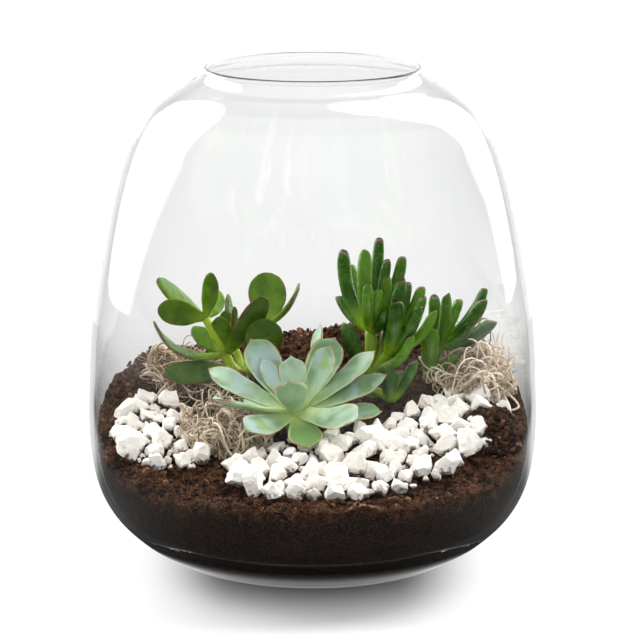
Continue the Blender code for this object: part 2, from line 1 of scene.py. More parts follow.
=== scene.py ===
"""Looks of the planted glass terrarium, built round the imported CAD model.

Every piece stands for the CAD node of the same part and keeps its place and form: the jar's shell with
a finer outline, crumbly soil, broken marble, curled moss, and the three succulents leaf by leaf.
"""
import math
import random

import bmesh
import bpy
import numpy as np
from mathutils import Matrix, Vector, noise
from mathutils.bvhtree import BVHTree


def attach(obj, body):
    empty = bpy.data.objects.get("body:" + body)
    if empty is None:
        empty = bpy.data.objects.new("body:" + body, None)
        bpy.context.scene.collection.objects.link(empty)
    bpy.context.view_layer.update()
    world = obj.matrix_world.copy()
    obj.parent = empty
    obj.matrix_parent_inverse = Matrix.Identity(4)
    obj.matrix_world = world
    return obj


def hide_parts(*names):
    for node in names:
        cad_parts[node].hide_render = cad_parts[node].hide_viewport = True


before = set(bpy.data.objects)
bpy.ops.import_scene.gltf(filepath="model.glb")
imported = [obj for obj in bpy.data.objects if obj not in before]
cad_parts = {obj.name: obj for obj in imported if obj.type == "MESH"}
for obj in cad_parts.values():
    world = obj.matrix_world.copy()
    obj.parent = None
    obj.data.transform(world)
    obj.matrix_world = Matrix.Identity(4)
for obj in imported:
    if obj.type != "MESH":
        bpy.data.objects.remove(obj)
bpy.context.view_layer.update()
MM = 0.001

# Camera: the photograph's viewing angle, 640 pixels square, its focal length in pixels.
PICTURE = 640
FOCAL_PIXELS = 3480
CAMERA_AT = (0, -1.9, 0.541)
CAMERA_PITCH = math.radians(12.054)
JAR_COLUMN = 312.5
SENSOR = 36


def placed(name, data):
    made = bpy.data.objects.new(name, data)
    bpy.context.scene.collection.objects.link(made)
    return made


camera = placed("camera", bpy.data.cameras.new("camera"))
camera.location = CAMERA_AT
turn = math.atan((JAR_COLUMN - PICTURE / 2) / FOCAL_PIXELS)
camera.rotation_euler = (math.pi / 2 - CAMERA_PITCH, 0, turn)
camera.data.sensor_width = SENSOR
camera.data.lens = FOCAL_PIXELS / PICTURE * SENSOR
camera.data.clip_end = 60
bpy.context.scene.camera = camera

# Jar outline and soil surface, as in the CAD source.
JAR_HEIGHT = 278 * MM
WALL = 3.5 * MM
FLOOR_THICKNESS = 8 * MM
THICKENING_HEIGHT = 30 * MM
OUTLINE = [
    (66, 0), (75, 1.8), (84, 6), (98, 14.5), (112.5, 29), (121.5, 48), (125, 74), (124.5, 105),
    (122.5, 137), (117, 172), (108.5, 211), (99, 239), (91.5, 252.5), (81, 261.5), (70, 268),
    (63.5, 271.5), (60.5, 274.5), (60, 276.3),
]
JAR_SIDES, LIP_STEPS, DISC_RINGS = 200, 14, 9
NECK_THINNED, NECK_FROM, NECK_OVER = 1.3 * MM, 236 * MM, 32 * MM
STRAIGHT_FROM = 5.5  # Light that has met more surfaces than this goes straight on through the glass
DRY_GAP, MOIST_CONTACT = 0.4 * MM, -0.12 * MM  # Soil to wall: moist soil sticks to the glass at the base
MOIST_TO, DRY_FROM = 8 * MM, 34 * MM
RIM_LIFT = 6.5 * MM  # Soil heaped against the wall, left and right of the plants
SOIL_FRONT = 57 * MM
SOIL_BANK = 45 * MM
BANK_FROM, BANK_TO = -105 * MM, 95 * MM
MOUND_HEIGHT, MOUND_SPREAD = 7 * MM, 32 * MM
MOUND_AT = Vector((20, 88)) * MM
LEFT_DROP = 5 * MM
CLOD_SIZE, CLOD_HEIGHT = 26 * MM, 2.2 * MM

# Finer soil: cells across the surface, rows down the wall, then what lies loose on it.
SOIL_CELLS, WALL_ROWS = 340, 60
CRUMBS, FIBRES = 6900, 1500
SURFACE_REACH, CRUMB_REACH, FIBRE_REACH = 118, 121, 118  # Millimetres from the axis
FIBRE_POINTS, TWIG_POINTS = 6, 8
TWIGS = (((-68, 62), 13, 16), ((-12, 78), 14, 14), ((92, 66), 12, 10))  # Middle, reach, count
HEAP_AT, HEAP_REACH, HEAP_HEIGHT = (101 * MM, -20 * MM), (17 * MM, 21 * MM), 11 * MM
HEAP_CRUMBS = 1500

# Leaves, as in the CAD source: outlines, then by joint each leaf's tip, width, bow and facing. A jade leaf
# also has its shade, from deep green to fresh green, partly its own colour and partly painted light and
# shade: lit leaves are given lighter shades, shaded ones darker.
JADE_OUTLINE = [(0, 0.26, 0.95), (0.16, 0.5, 1), (0.38, 0.9, 1), (0.64, 1, 0.9), (0.85, 0.8, 0.7),
                (0.96, 0.42, 0.45)]
ROSETTE_OUTLINE = [(0, 0.45, 1), (0.3, 0.58, 1), (0.56, 0.86, 0.85), (0.79, 1, 0.66), (0.92, 0.8, 0.5),
                   (0.98, 0.4, 0.38)]
# Kinds of flat leaf: outline, thickness, cup, length of the rounded tip, its bluntness, waviness.
JADE_KIND = (JADE_OUTLINE, 3.4, 0.03, 1.2, 0.55, 0.7)
ROSETTE_KIND = (ROSETTE_OUTLINE, 3.6, 0.27, 2.7, 0.3, 1.1)
JADE_ROOT = (-40, 36)
JADE_LOWER, JADE_FORK, JADE_UPPER = (-46, 31, 101), (-50, 30, 109), (-61, 26, 131)
JADE_REAR, JADE_CROWN = (-29, 50, 107), (-24, 55, 122)
JADE_TWIN, JADE_FRONT = (-44, 44, 108), (-31, 25, 105)
JADE_LEAVES = [
    (JADE_UPPER, [((-88, 20, 155), 14, 1.5, (1, -1, 1.4), 0.85),
        ((-87, 9, 140), 14.5, 1, (0, -1, 0.25), 0.5), ((-57, 21, 158), 11, 1.5, (-0.5, -1, 0.2), 0.6),
        ((-53, 46, 142), 12.5, 1, (0.3, -1, 0.6), 0.95)]),
    (JADE_FORK, [((-90, 16, 132), 13, 10, (0.5, -0.1, 0.85), 0.5),
        ((-69, 50, 121), 12, 1, (0.3, -0.8, 0.5), 0.6), ((-53, 24, 132), 12, 1, (0, -1, 0.2), 0.6),
        ((-27, 20, 145), 16, 3, (-0.4, 0.9, 0.3), 0.2)]),
    (JADE_TWIN, [((-51, 50, 130), 11, 1, (0, -1, 0.2), 0.4), ((-45, 43, 134), 8, 0.5, (1, -0.6, 0), 0.4),
        ((-49, 60, 138), 11, 1, (1, -0.4, 0.3), 0.4)]),
    (JADE_FRONT, [((-25, 15, 133), 21, 2, (0, 1, 0.2), 0.2)]),
    (JADE_CROWN, [((-28, 72, 148), 22, 1, (0, -1, 0.2), 0.75),
        ((-8, 71, 142), 12, 3, (-1, 0, 0.3), 0.5)]),
    (JADE_LOWER, [((-84, 6, 103), 15, 1.5, (0, -0.8, 0.6), 0.3)]),
]
ROSETTE_ROOT = (-9, -20)
ROSETTE_HEART = (-9, -22, 88)
ROSETTE_LEAVES = [
    ((-57, -11, 109), 17, 3, (0, -0.5, 1)),
    ((-54, -38, 99), 15, 2, (0, 0.1, 1)),
    ((-36, -54, 86), 18, 3, (0.1, -0.7, 1)),
    ((-2, -52, 76), 20, 2, (0, -0.5, 1)),
    ((24, -50, 91), 20, 3, (0, -0.8, 1)),
    ((37, -18, 87), 16, 2, (0, -0.4, 1)),
    ((40, -8, 105), 15, 3, (-0.1, -0.5, 1)),
    ((34, -2, 117), 14, 3, (-0.3, -0.6, 1)),
    ((12, 4, 123), 20, 4, (-0.2, -1, 0.5)),
    ((4, 23, 127), 13, 4, (-0.9, -0.2, 0.4)),
    ((-34, -4, 124), 21, 4, (0.3, -1, 0.6)),
    ((-38, -4, 90), 15, 2, (0, 0, 1)),
    ((10, -22, 124), 15, 3, (-0.4, -1, 0.4)),
    ((-28, -10, 114), 11, 2, (0.6, -1, 0.3)),
    ((-12, -7, 115), 16, 2, (0, -1, 0.4)),
    ((1, -12, 111), 9, 2, (-1, -0.2, 0.4)),
    ((-13, -39, 108), 19, 3, (0, 1, 0.3)),
]
ROSETTE_SHADED = 3  # The thick low leaf at the front, under the others, is a deeper green: painted shade
FINGER_LEFT_ROOT = (33, 21)
FINGER_LEFT_HEAD, FINGER_LEFT_LOW = (33, 24, 124), (33, 20, 100)
FINGER_FORK_LOW, FINGER_FORK, FINGER_SPUR = (37, 18, 104), (43, 16, 113), (44, 9, 87)
FINGER_LEFT_LEAVES = [
    (FINGER_LEFT_HEAD, [((18, 42, 166), 7.6, 8), ((15, 48, 139), 6, 3), ((22, 54, 156), 6, 4),
        ((30, 19, 170), 7.8, 4), ((38, 44, 173), 6, 2), ((42, 36, 162), 6, 2), ((51, 36, 164), 6.6, 4),
        ((31, 8, 153), 6, 4), ((37, 11, 150), 5.5, 2), ((42, 15, 156), 5.6, 3), ((41, 10, 138), 5.6, 3),
        ((34, 42, 150), 6, 2)]),
    (FINGER_LEFT_LOW, [((20, 12, 130), 9.5, 3)]),
    (FINGER_FORK_LOW, [((50, 30, 152), 8, 2)]),
    (FINGER_FORK, [((47, 7, 144), 9, 3), ((54, 36, 149), 6.4, 2), ((62, 34, 147), 6.4, 3),
        ((62, 24, 143), 6.4, 3), ((59, 6, 141), 7.4, 3), ((68, 14, 137), 6, 5)]),
    (FINGER_FORK_LOW, [((55, 4, 125), 6.2, 5), ((56, 20, 132), 7, 4)]),
    (FINGER_SPUR, [((43, 8, 106), 7.8, 1), ((49, 15, 102), 6.5, 1), ((57, 14, 108), 6.5, 2)]),
]
FINGER_RIGHT_ROOT = (67, 38)
FINGER_RIGHT_LOW, FINGER_RIGHT_HEAD = (67, 36, 99), (71, 40, 112)
FINGER_RIGHT_LEAVES = [
    (FINGER_RIGHT_LOW, [((76, 33, 143), 7, 3)]),
    (FINGER_RIGHT_HEAD, [((70, 46, 139), 6.4, 2), ((78, 54, 137), 5.4, 2), ((85, 58, 135), 6, 2),
        ((100, 56, 142), 6, 5), ((97, 32, 140), 8.6, 4), ((104, 46, 125), 8, 4),
        ((90, 30, 128), 6.5, 4)]),
    (FINGER_RIGHT_LOW, [((67, 24, 124), 9.5, 3), ((81, 30, 109), 6.5, 3)]),
]

# Gravel patches, as in the CAD source, which places the larger stones by the same rule.
STONE_SPACING = 10.5 * MM
STONE_RADIUS = (5.4 * MM, 8.4 * MM)
STONE_REACH = 116.5 * MM
STONE_CLEARANCE = 0.5 * MM
STONE_GROWTH = 1.04
STONE_TRIES, STONE_CUTS = 4000, 12
FACET_LENGTHS = (0.62, 0.4, 0.25)  # Longer edges than these shares of the size are halved, in turn
FILLERS = ((5.0, 7.4, 5000), (3.4, 4.8, 3000), (1.5, 2.8, 1500))  # Smaller stones: radii, tries
GRAVEL_LEFT = [
    (-110, -22), (-101, -44), (-87, -58), (-66, -58), (-54, -46), (-58, -34), (-70, -20), (-70, 4),
    (-84, 16), (-102, 14),
]
GRAVEL_FRONT = [
    (-48, -58), (-38, -80), (-16, -96), (5, -100), (46, -86), (70, -69), (82, -48), (103, -28),
    (111, -12), (104, 14), (84, 20), (70, 10), (58, -2), (46, -8), (34, -18), (18, -29), (-10, -34),
    (-30, -46),
]


# Shader nodes


class Nodes:
    """Short calls that add shader nodes to a tree and link them."""

    def __init__(self, tree):
        self.tree = tree

    def feed(self, socket, value):
        if isinstance(value, bpy.types.NodeSocket):
            self.tree.links.new(value, socket)
        elif isinstance(value, tuple) and len(value) == 3 and len(socket.default_value) == 4:
            socket.default_value = (*value, 1)
        else:
            socket.default_value = value

    def add(self, kind, inputs=None, **settings):
        node = self.tree.nodes.new("ShaderNode" + kind)
        for name, value in settings.items():
            setattr(node, name, value)
        for name, value in (inputs or {}).items():
            self.feed(node.inputs[name], value)
        return node

    def math(self, operation, first, second=0.0):
        return self.add("Math", {0: first, 1: second}, operation=operation).outputs[0]

    def times(self, first, *others):
        for other in others:
            first = self.math("MULTIPLY", first, other)
        return first

    def greatest(self, first, *others):
        for other in others:
            first = self.math("MAXIMUM", first, other)
        return first

    def blend(self, share, first, second):
        """Between two numbers."""
        return self.add("Mix", {0: share, 2: first, 3: second}).outputs[0]

    def mix(self, share, first, second):
        """Between two colours."""
        return self.add("Mix", {0: share, 6: first, 7: second}, data_type="RGBA").outputs[2]

    def ease(self, value, low, high, start=0.0, end=1.0):
        """`value` from low..high to start..end along a smooth step."""
        return self.add("MapRange", {"Value": value, "From Min": low, "From Max": high, "To Min": start,
                                     "To Max": end}, interpolation_type="SMOOTHSTEP").outputs["Result"]


class Shader(Nodes):
    """A node material, whose colour is laid on coat by coat."""

    def __init__(self, name):
        self.material = bpy.data.materials.new(name)
        self.material.use_nodes = True
        super().__init__(self.material.node_tree)
        self.surface = self.tree.nodes["Principled BSDF"]
        self.output = self.tree.nodes["Material Output"]
        self.place = self.add("TexCoord").outputs["Object"]
        self.colour = None

    def set(self, **inputs):
        for name, value in inputs.items():
            self.feed(self.surface.inputs[name.replace("_", " ")], value)

    def value(self, name):
        return self.add("Attribute", attribute_name=name).outputs["Fac"]

    def noise(self, scale, detail=3, roughness=0.55, distortion=0):
        return self.add("TexNoise", {"Vector": self.place, "Scale": scale, "Detail": detail,
                                     "Roughness": roughness, "Distortion": distortion}).outputs["Fac"]

    def cells(self, scale):
        """Distance to the middle of the nearest cell."""
        return self.add("TexVoronoi", {"Vector": self.place, "Scale": scale}).outputs["Distance"]

    def ground(self, share, first, second):
        self.colour = self.mix(share, first, second)

    def paint(self, share, colour):
        self.colour = self.mix(share, self.colour, colour)

    def tint(self, colour, *eased):
        """Paint whose share is an eased value."""
        self.paint(self.ease(*eased), colour)

    def relief(self, height, distance, strength):
        bump = self.add("Bump", {"Height": height, "Distance": distance, "Strength": strength})
        self.set(Normal=bump.outputs["Normal"])

    def flesh(self, red_reach, blue_reach, weight=0.05):
        """Light that soaks a little way into a leaf."""
        self.set(Subsurface_Weight=weight, Subsurface_Radius=(red_reach, 1.0, blue_reach),
                 Subsurface_Scale=0.002)


def clear_glass():
    """Smooth glass, faintly green where light goes far through it. Lamps shine straight through it, and
    so does light that has met more than a few surfaces."""
    shader = Shader("clear_glass")
    shader.set(Base_Color=(1, 1, 1), Roughness=0.0, IOR=1.46, Transmission_Weight=1.0)
    shader.relief(shader.noise(14, 2, 0.4), 0.0004, 0.02)
    rays = shader.add("LightPath").outputs
    passes = shader.greatest(rays["Is Shadow Ray"], rays["Is Diffuse Ray"],
                             shader.math("GREATER_THAN", rays["Ray Depth"], STRAIGHT_FROM))
    clear = shader.add("BsdfTransparent", {"Color": (0.985, 0.982, 0.972)})
    both = shader.add("MixShader", {0: passes, 1: shader.surface.outputs[0], 2: clear.outputs[0]})
    shader.feed(shader.output.inputs["Surface"], both.outputs[0])
    body = shader.add("VolumeAbsorption", {"Color": (0.38, 0.72, 0.60), "Density": 5.0})
    shader.feed(shader.output.inputs["Volume"], body.outputs[0])
    return shader.material


def peat_soil():
    """Crumbs from black to red-brown, with painted shade in the surface's pits and painted light on its
    tops; duller and denser where it is pressed against the glass.
    """
    shader = Shader("peat_soil")
    side, tone = shader.value("side"), shader.value("tone")
    coarse, fine = shader.noise(170, 4, 0.6), shader.noise(900, 3, 0.6)
    shader.ground(shader.ease(coarse, 0.35, 0.68), (0.010, 0.0045, 0.0025), (0.080, 0.033, 0.0155))
    shader.tint((0.23, 0.108, 0.052), fine, 0.54, 0.7, 0, 0.8)
    # On the surface the tone follows the crumbs' height, so these coats are painted light on the tops and
    # painted shade in the pits; on loose crumbs and fibres the tone is their own shade.
    shader.tint((0.15, 0.064, 0.030), tone, 0.45, 1.0, 0, 0.7)
    shader.tint((0.006, 0.003, 0.002), tone, 0.4, 0.05, 0, 0.75)
    shader.tint((0.34, 0.19, 0.10), tone, 0.93, 1.0, 0, 0.8)
    pressed = shader.mix(shader.ease(fine, 0.4, 0.75), (0.008, 0.0042, 0.0028), (0.034, 0.0175, 0.0105))
    grit = shader.ease(shader.noise(1700, 2, 0.7), 0.62, 0.7, 0, 0.8)
    pressed = shader.mix(grit, pressed, (0.15, 0.088, 0.055))
    shader.set(Base_Color=shader.mix(side, shader.colour, pressed), Roughness=0.92, Specular_IOR_Level=0.2)
    shader.relief(shader.math("ADD", fine, shader.times(coarse, 1.5)), 0.0012, 0.9)
    return shader.material


def white_marble():
    """Broken marble, warm white, with pits, a few darker stones, and a peat-brown darkening low on each:
    peat dusting with painted shade, darkest in the gaps between stones.
    """
    shader = Shader("white_marble")
    tone, low = shader.value("tone"), shader.value("low")
    stain = shader.ease(shader.noise(90, 4, 0.6), 0.45, 0.72)
    shader.ground(stain, (1.0, 0.965, 0.93), (0.98, 0.925, 0.87))
    shader.tint((0.88, 0.80, 0.71), tone, 0.8, 1.0, 0, 0.5)
    shader.tint((0.66, 0.55, 0.46), shader.noise(420, 3, 0.7), 0.6, 0.76, 0, 0.5)
    # Darker low on each stone: peat dusting, and painted shade in the gaps between stones.
    dust_and_gap_shade = shader.math("ADD", low, shader.ease(shader.noise(240, 3, 0.6), 0.3, 0.7, -0.3, 0.3))
    shader.tint((0.09, 0.05, 0.032), dust_and_gap_shade, 0.52, 0.9, 0, 0.97)
    shader.set(Base_Color=shader.colour, Roughness=shader.ease(shader.noise(260), 0.3, 0.7, 0.6, 0.85))
    grain = shader.math("ADD", shader.noise(380, 4, 0.65), shader.times(shader.noise(1500, 2), 0.4))
    shader.relief(grain, 0.0009, 0.7)
    return shader.material


def dry_moss():
    """Each strand has its own shade, from dark brown to bleached."""
    shader = Shader("dry_moss")
    tone = shader.value("tone")
    shader.ground(shader.ease(tone, 0.05, 0.4), (0.10, 0.06, 0.036), (0.60, 0.48, 0.36))
    shader.tint((0.98, 0.87, 0.72), tone, 0.4, 1.0)
    shader.tint((0.33, 0.22, 0.145), shader.noise(420, 2), 0.48, 0.72, 0, 0.5)
    shader.set(Base_Color=shader.colour, Roughness=0.75, Specular_IOR_Level=0.3)
    shader.relief(shader.noise(2600, 2), 0.0002, 0.5)
    return shader.material


def jade_leaf():
    """Glossy green, yellower at the base, with pale specks and a thin red-brown rim."""
    shader = Shader("jade_leaf")
    along, edge, upper, tone = (shader.value(name) for name in LEAF_VALUES)
    shader.ground(shader.ease(shader.noise(70, 4, 0.6, 0.4), 0.3, 0.7), (0.011, 0.032, 0.001),
                  (0.037, 0.085, 0.0013))
    # Each leaf's tone, from deep to fresh green: partly its own colour, partly painted light and shade,
    # lighter on lit leaves and darker on shaded ones.
    shader.paint(tone, shader.mix(shader.ease(shader.noise(110, 4, 0.6), 0.36, 0.64),
                                  (0.068, 0.165, 0.001), (0.135, 0.285, 0.003)))
    shader.tint((0.20, 0.33, 0.008), along, 0.42, 0.05, 0, 0.75)
    shader.tint((0.12, 0.19, 0.02), upper, 0.5, 0.0, 0, 0.15)
    specks = shader.ease(shader.cells(650), 0.22, 0.05, 0, 0.35)
    shader.paint(specks, (0.18, 0.27, 0.05))
    rim = shader.times(shader.ease(edge, 0.91, 0.96), shader.ease(along, 0.35, 0.6),
                       shader.ease(shader.noise(60, 2), 0.36, 0.52))
    shader.paint(rim, (0.19, 0.06, 0.028))
    tip = shader.times(shader.ease(along, 0.965, 1.0), shader.ease(tone, 0.1, 0.5), 0.7)
    shader.paint(tip, (0.13, 0.045, 0.02))
    shader.set(Base_Color=shader.colour, Roughness=shader.ease(shader.noise(120, 2), 0.3, 0.7, 0.2, 0.34),
               Specular_IOR_Level=0.5)
    shader.flesh(0.5, 0.2)
    shader.relief(shader.math("ADD", shader.noise(240, 3, 0.5), shader.times(specks, 0.4)), 0.0003, 0.5)
    return shader.material


def rosette_leaf():
    """Blue-green under a waxy bloom, yellow-green at the base, with red rims, tips and scars; darker with
    painted shade at each leaf's foot and on the low front leaf.
    """
    shader = Shader("rosette_leaf")
    along, edge, upper, tone = (shader.value(name) for name in LEAF_VALUES)
    bloom = shader.noise(45, 3, 0.5, 0.6)
    shader.ground(shader.ease(bloom, 0.35, 0.65), (0.16, 0.30, 0.14), (0.45, 0.60, 0.45))
    blue = shader.times(shader.ease(shader.noise(38, 2, 0.5, 1.0), 0.5, 0.66),
                        shader.ease(along, 0.3, 0.7), 0.85)
    shader.paint(blue, (0.41, 0.56, 0.57))
    shader.tint((0.30, 0.50, 0.10), shader.noise(85, 2, 0.5), 0.6, 0.68, 0, 0.6)
    shader.tint((0.22, 0.36, 0.14), upper, 0.5, 0.1, 0, 0.35)
    # Painted shade: the low front leaf, with tone 0, is darkened to a deeper green.
    shader.tint((0.15, 0.28, 0.08), tone, 0.12, 0.0)
    shader.paint(shader.times(shader.ease(along, 0.5, 0.02), 0.8), (0.55, 0.68, 0.20))
    # Painted shade: darker green at the foot of each leaf, deep in the rosette's heart.
    shader.paint(shader.times(shader.ease(along, 0.22, 0.0), 0.7), (0.16, 0.26, 0.05))
    fold = shader.times(shader.ease(edge, 0.82, 0.93), shader.ease(along, 0.1, 0.4), 0.6)
    shader.paint(fold, (0.60, 0.72, 0.34))
    rim = shader.times(shader.ease(edge, 0.91, 0.96), shader.ease(along, 0.4, 0.8),
                       shader.ease(shader.noise(90, 3), 0.38, 0.54))
    shader.paint(rim, (0.40, 0.13, 0.09))
    shader.paint(shader.times(shader.ease(along, 0.95, 1.0), 0.9), (0.40, 0.15, 0.11))
    scar = shader.times(shader.ease(shader.noise(130, 4, 0.7), 0.57, 0.63), shader.ease(along, 0.6, 0.95),
                        shader.ease(edge, 0.55, 0.95), 0.8)
    shader.paint(scar, (0.24, 0.16, 0.07))
    shader.set(Base_Color=shader.colour, Roughness=shader.ease(bloom, 0.3, 0.7, 0.5, 0.36),
               Specular_IOR_Level=0.45, Sheen_Weight=0.06, Sheen_Roughness=0.5)
    shader.flesh(0.6, 0.4, 0.08)
    shader.relief(shader.noise(150, 3, 0.5), 0.0004, 0.5)
    return shader.material


def finger_leaf():
    """Glossy dark green with pale warty specks towards the tip, partly their own colour and partly painted
    highlight on the bumps, and a brown rim round the tip's dish.
    """
    shader = Shader("finger_leaf")
    along, tone = shader.value("along"), shader.value("tone")
    shade = shader.noise(80, 3, 0.5)
    shader.ground(shader.ease(shade, 0.3, 0.7), (0.012, 0.050, 0.001), (0.046, 0.145, 0.0018))
    shader.tint((0.115, 0.275, 0.004), tone, 0.2, 1.0, 0, 0.7)
    shader.tint((0.25, 0.42, 0.008), along, 0.45, 0.0, 0, 0.9)
    warts_and_glints = shader.ease(shader.cells(520), 0.30, 0.10)
    # Pale warts, partly their own colour and partly painted highlight on the bumps, stronger towards the
    # tip.
    shader.paint(shader.times(warts_and_glints, shader.ease(along, 0.35, 0.9, 0.12, 0.55)), (0.20, 0.29, 0.14))
    rim = shader.times(shader.ease(along, 0.975, 0.995), shader.ease(along, 1.08, 1.02),
                       shader.ease(shader.noise(160, 2), 0.35, 0.55, 0.3, 0.95))
    shader.paint(rim, (0.15, 0.06, 0.045))
    shader.tint((0.16, 0.17, 0.12), along, 1.03, 1.1)
    shader.set(Base_Color=shader.colour, Roughness=shader.ease(shade, 0.3, 0.7, 0.17, 0.32),
               Specular_IOR_Level=0.6)
    shader.flesh(0.5, 0.2)
    shader.relief(shader.math("ADD", shader.times(warts_and_glints, 0.6), shader.noise(300, 2, 0.5)), 0.0004, 0.55)
    return shader.material


def stem_skin(name, old, young):
    """Fleshy stem: the old colour at its foot, the young one at its head, with pale lengthwise scars."""
    shader = Shader(name)
    shader.ground(shader.ease(shader.value("along"), 0.05, 0.6), old, young)
    marks = shader.noise(140, 4, 0.6)
    shader.paint(shader.ease(marks, 0.5, 0.7, 0, 0.5), tuple(0.6 * part + 0.03 for part in old))
    shader.set(Base_Color=shader.colour, Roughness=shader.ease(marks, 0.3, 0.7, 0.4, 0.55))
    shader.relief(shader.noise(260, 3), 0.0004, 0.5)
    return shader.material


# Meshes


class Heap:
    """Gathers the forms of one piece, with a value or two for each vertex, and makes its mesh."""

    def __init__(self, *names):
        self.names = names
        self.points, self.faces, self.values, self.looks = [], [], [], []
        self.count = 0

    def add(self, points, faces, values, look=0):
        points = np.asarray(points, float).reshape(-1, 3)
        values = np.broadcast_to(np.asarray(values, float), (len(points), len(self.names)))
        self.points.append(points)
        self.values.append(values)
        for some in faces if isinstance(faces, list) else [faces]:
            some = np.asarray(some, int)
            self.faces.append(some + self.count)
            self.looks.append(np.full(len(some), look))
        self.count += len(points)

    def made(self, name, looks, node, slot, smooth=True):
        points = np.concatenate(self.points)
        sizes = np.concatenate([np.full(len(some), some.shape[1]) for some in self.faces])
        corners = np.concatenate([some.ravel() for some in self.faces])
        mesh = bpy.data.meshes.new(name)
        mesh.vertices.add(len(points))
        mesh.vertices.foreach_set("co", points.ravel())
        mesh.loops.add(len(corners))
        mesh.loops.foreach_set("vertex_index", corners)
        mesh.polygons.add(len(sizes))
        mesh.polygons.foreach_set("loop_start", np.concatenate([[0], np.cumsum(sizes)[:-1]]))
        mesh.polygons.foreach_set("loop_total", sizes)
        mesh.polygons.foreach_set("material_index", np.concatenate(self.looks))
        mesh.polygons.foreach_set("use_smooth", np.full(len(sizes), smooth))
        for look in looks:
            mesh.materials.append(look)
        values = np.concatenate(self.values)
        for column, title in enumerate(self.names):
            mesh.attributes.new(title, "FLOAT", "POINT").data.foreach_set("value", values[:, column].copy())
        mesh.update(calc_edges=True)
        mesh.validate()
        made = placed(name, mesh)
        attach(made, "root")
        if node:
            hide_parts(*([node] if isinstance(node, str) else node))
        return made


def smooth_curve(points, steps):
    """A Catmull-Rom curve through the rows of `points`, with `steps` to each stretch."""
    points = np.asarray(points, float)
    ends = np.vstack([2 * points[0] - points[1], points, 2 * points[-1] - points[-2]])
    t = np.arange(steps)[:, None] / steps
    found = []
    for before, start, end, after in zip(ends, ends[1:], ends[2:], ends[3:]):
        square = 2 * before - 5 * start + 4 * end - after
        cube = 3 * start - 3 * end + after - before
        found.append(0.5 * (2 * start + (end - before) * t + square * t ** 2 + cube * t ** 3))
    return np.vstack([*found, points[-1:]])


def unit(vectors):
    return vectors / np.maximum(np.linalg.norm(vectors, axis=-1, keepdims=True), 1e-12)


def ring_faces(rings, sides):
    """Quads between neighbouring rings of a tube."""
    ring, corner = np.meshgrid(np.arange(rings - 1), np.arange(sides), indexing="ij")
    start, after = ring * sides + corner, ring * sides + (corner + 1) % sides
    return np.stack([start, after, after + sides, start + sides], -1).reshape(-1, 4)


def cap_faces(first, sides, tip, outward=True):
    """Triangles from a ring, whose vertices start at `first`, to the vertex `tip`."""
    corner = np.arange(sides)
    ring, after = first + corner, first + (corner + 1) % sides
    order = (ring, after) if outward else (after, ring)
    return np.stack([*order, np.full(sides, tip)], -1)


def swept(spine, widths, depths, facing, angles, cup=0.0):
    """Rings of points along the spine, their upper side turned to `facing`: (ring, corner, xyz)."""
    along = unit(np.gradient(spine, axis=0))
    up = unit(facing - along * (along @ facing)[:, None])
    across = np.cross(along, up)
    sideways, lift = np.cos(angles), np.sin(angles)
    reach = widths[:, None] * sideways
    rise = depths[:, None] * lift + cup * widths[:, None] * sideways ** 2
    return spine[:, None] + across[:, None] * reach[..., None] + up[:, None] * rise[..., None]


def random_way(draw):
    return Vector((draw.gauss(0, 1), draw.gauss(0, 1), draw.gauss(0, 1))).normalized()


def random_spot(draw, reach):
    return Vector([draw.uniform(0, reach) for _ in range(3)])


# Ground


def ease(share):
    share = min(1.0, max(0.0, share))
    return share * share * (3 - 2 * share)


def soil_height(x, y):
    bank = ease((y - BANK_FROM) / (BANK_TO - BANK_FROM))
    away = (Vector((x, y)) - MOUND_AT).length / MOUND_SPREAD
    mound = MOUND_HEIGHT * math.exp(-away * away)
    drop = LEFT_DROP * ease((-x - 40 * MM) / (60 * MM)) * ease(y / (50 * MM))
    clods = CLOD_HEIGHT * noise.noise(Vector((x, y, 0)) / CLOD_SIZE)
    return SOIL_FRONT + SOIL_BANK * bank + mound - drop + clods


def ground_height(x, y):
    """The soil's height with what is heaped against the wall."""
    lift = RIM_LIFT * ease((abs(x) - 70 * MM) / (30 * MM)) * ease((y + 10 * MM) / (50 * MM))
    return soil_height(x, y) + lift


def knob(at, size):
    """A rounded bump in each cell of this size: 0 between cells to 1 at a cell's middle."""
    nearest = noise.voronoi(at / size)[0][0]
    return math.sqrt(max(0.0, 1 - (nearest / 0.62) ** 2))


def crumble(x, y):
    """How far the loose soil stands above the plain surface: clods, crumbs and pits."""
    at = Vector((x, y, 0.0037))
    clods = noise.fractal(at / (12 * MM), 0.8, 2.1, 2)
    fine = at / (4 * MM)
    warp = Vector((noise.noise(fine), noise.noise(fine + Vector((9, 2, 5))), 0)) * 1.6 * MM
    return (2.1 * clods + 1.7 * knob(at + warp, 5.2 * MM) + 1.2 * knob(at - warp, 2.6 * MM) - 1.4) * MM


OUTER = smooth_curve(np.array(OUTLINE) * MM, 8)


def wall_inside(extra):
    """(radius, height) rows up the inside of the jar's wall, moved in by `extra`, in all or row by row."""
    thick = WALL + (FLOOR_THICKNESS - WALL) * np.maximum(0, 1 - OUTER[:, 1] / THICKENING_HEIGHT) ** 2
    along = unit(np.gradient(OUTER, axis=0))
    moved = OUTER + np.stack([-along[:, 1], along[:, 0]], -1) * (thick + extra)[:, None]
    start = OUTER[0] + (0, FLOOR_THICKNESS + np.min(extra))
    rows = [start]
    for row in moved[1:]:
        if (row[0] > rows[-1][0] and row[1] > rows[-1][1]) or row[1] > 60 * MM:
            rows.append(row)
    return np.array(rows)


DRIED = np.clip((OUTER[:, 1] - MOIST_TO) / (DRY_FROM - MOIST_TO), 0, 1)
INNER = wall_inside(MOIST_CONTACT + (DRY_GAP - MOIST_CONTACT) * DRIED)


def inner_radius(height):
    return float(np.interp(height, INNER[:, 1], INNER[:, 0]))


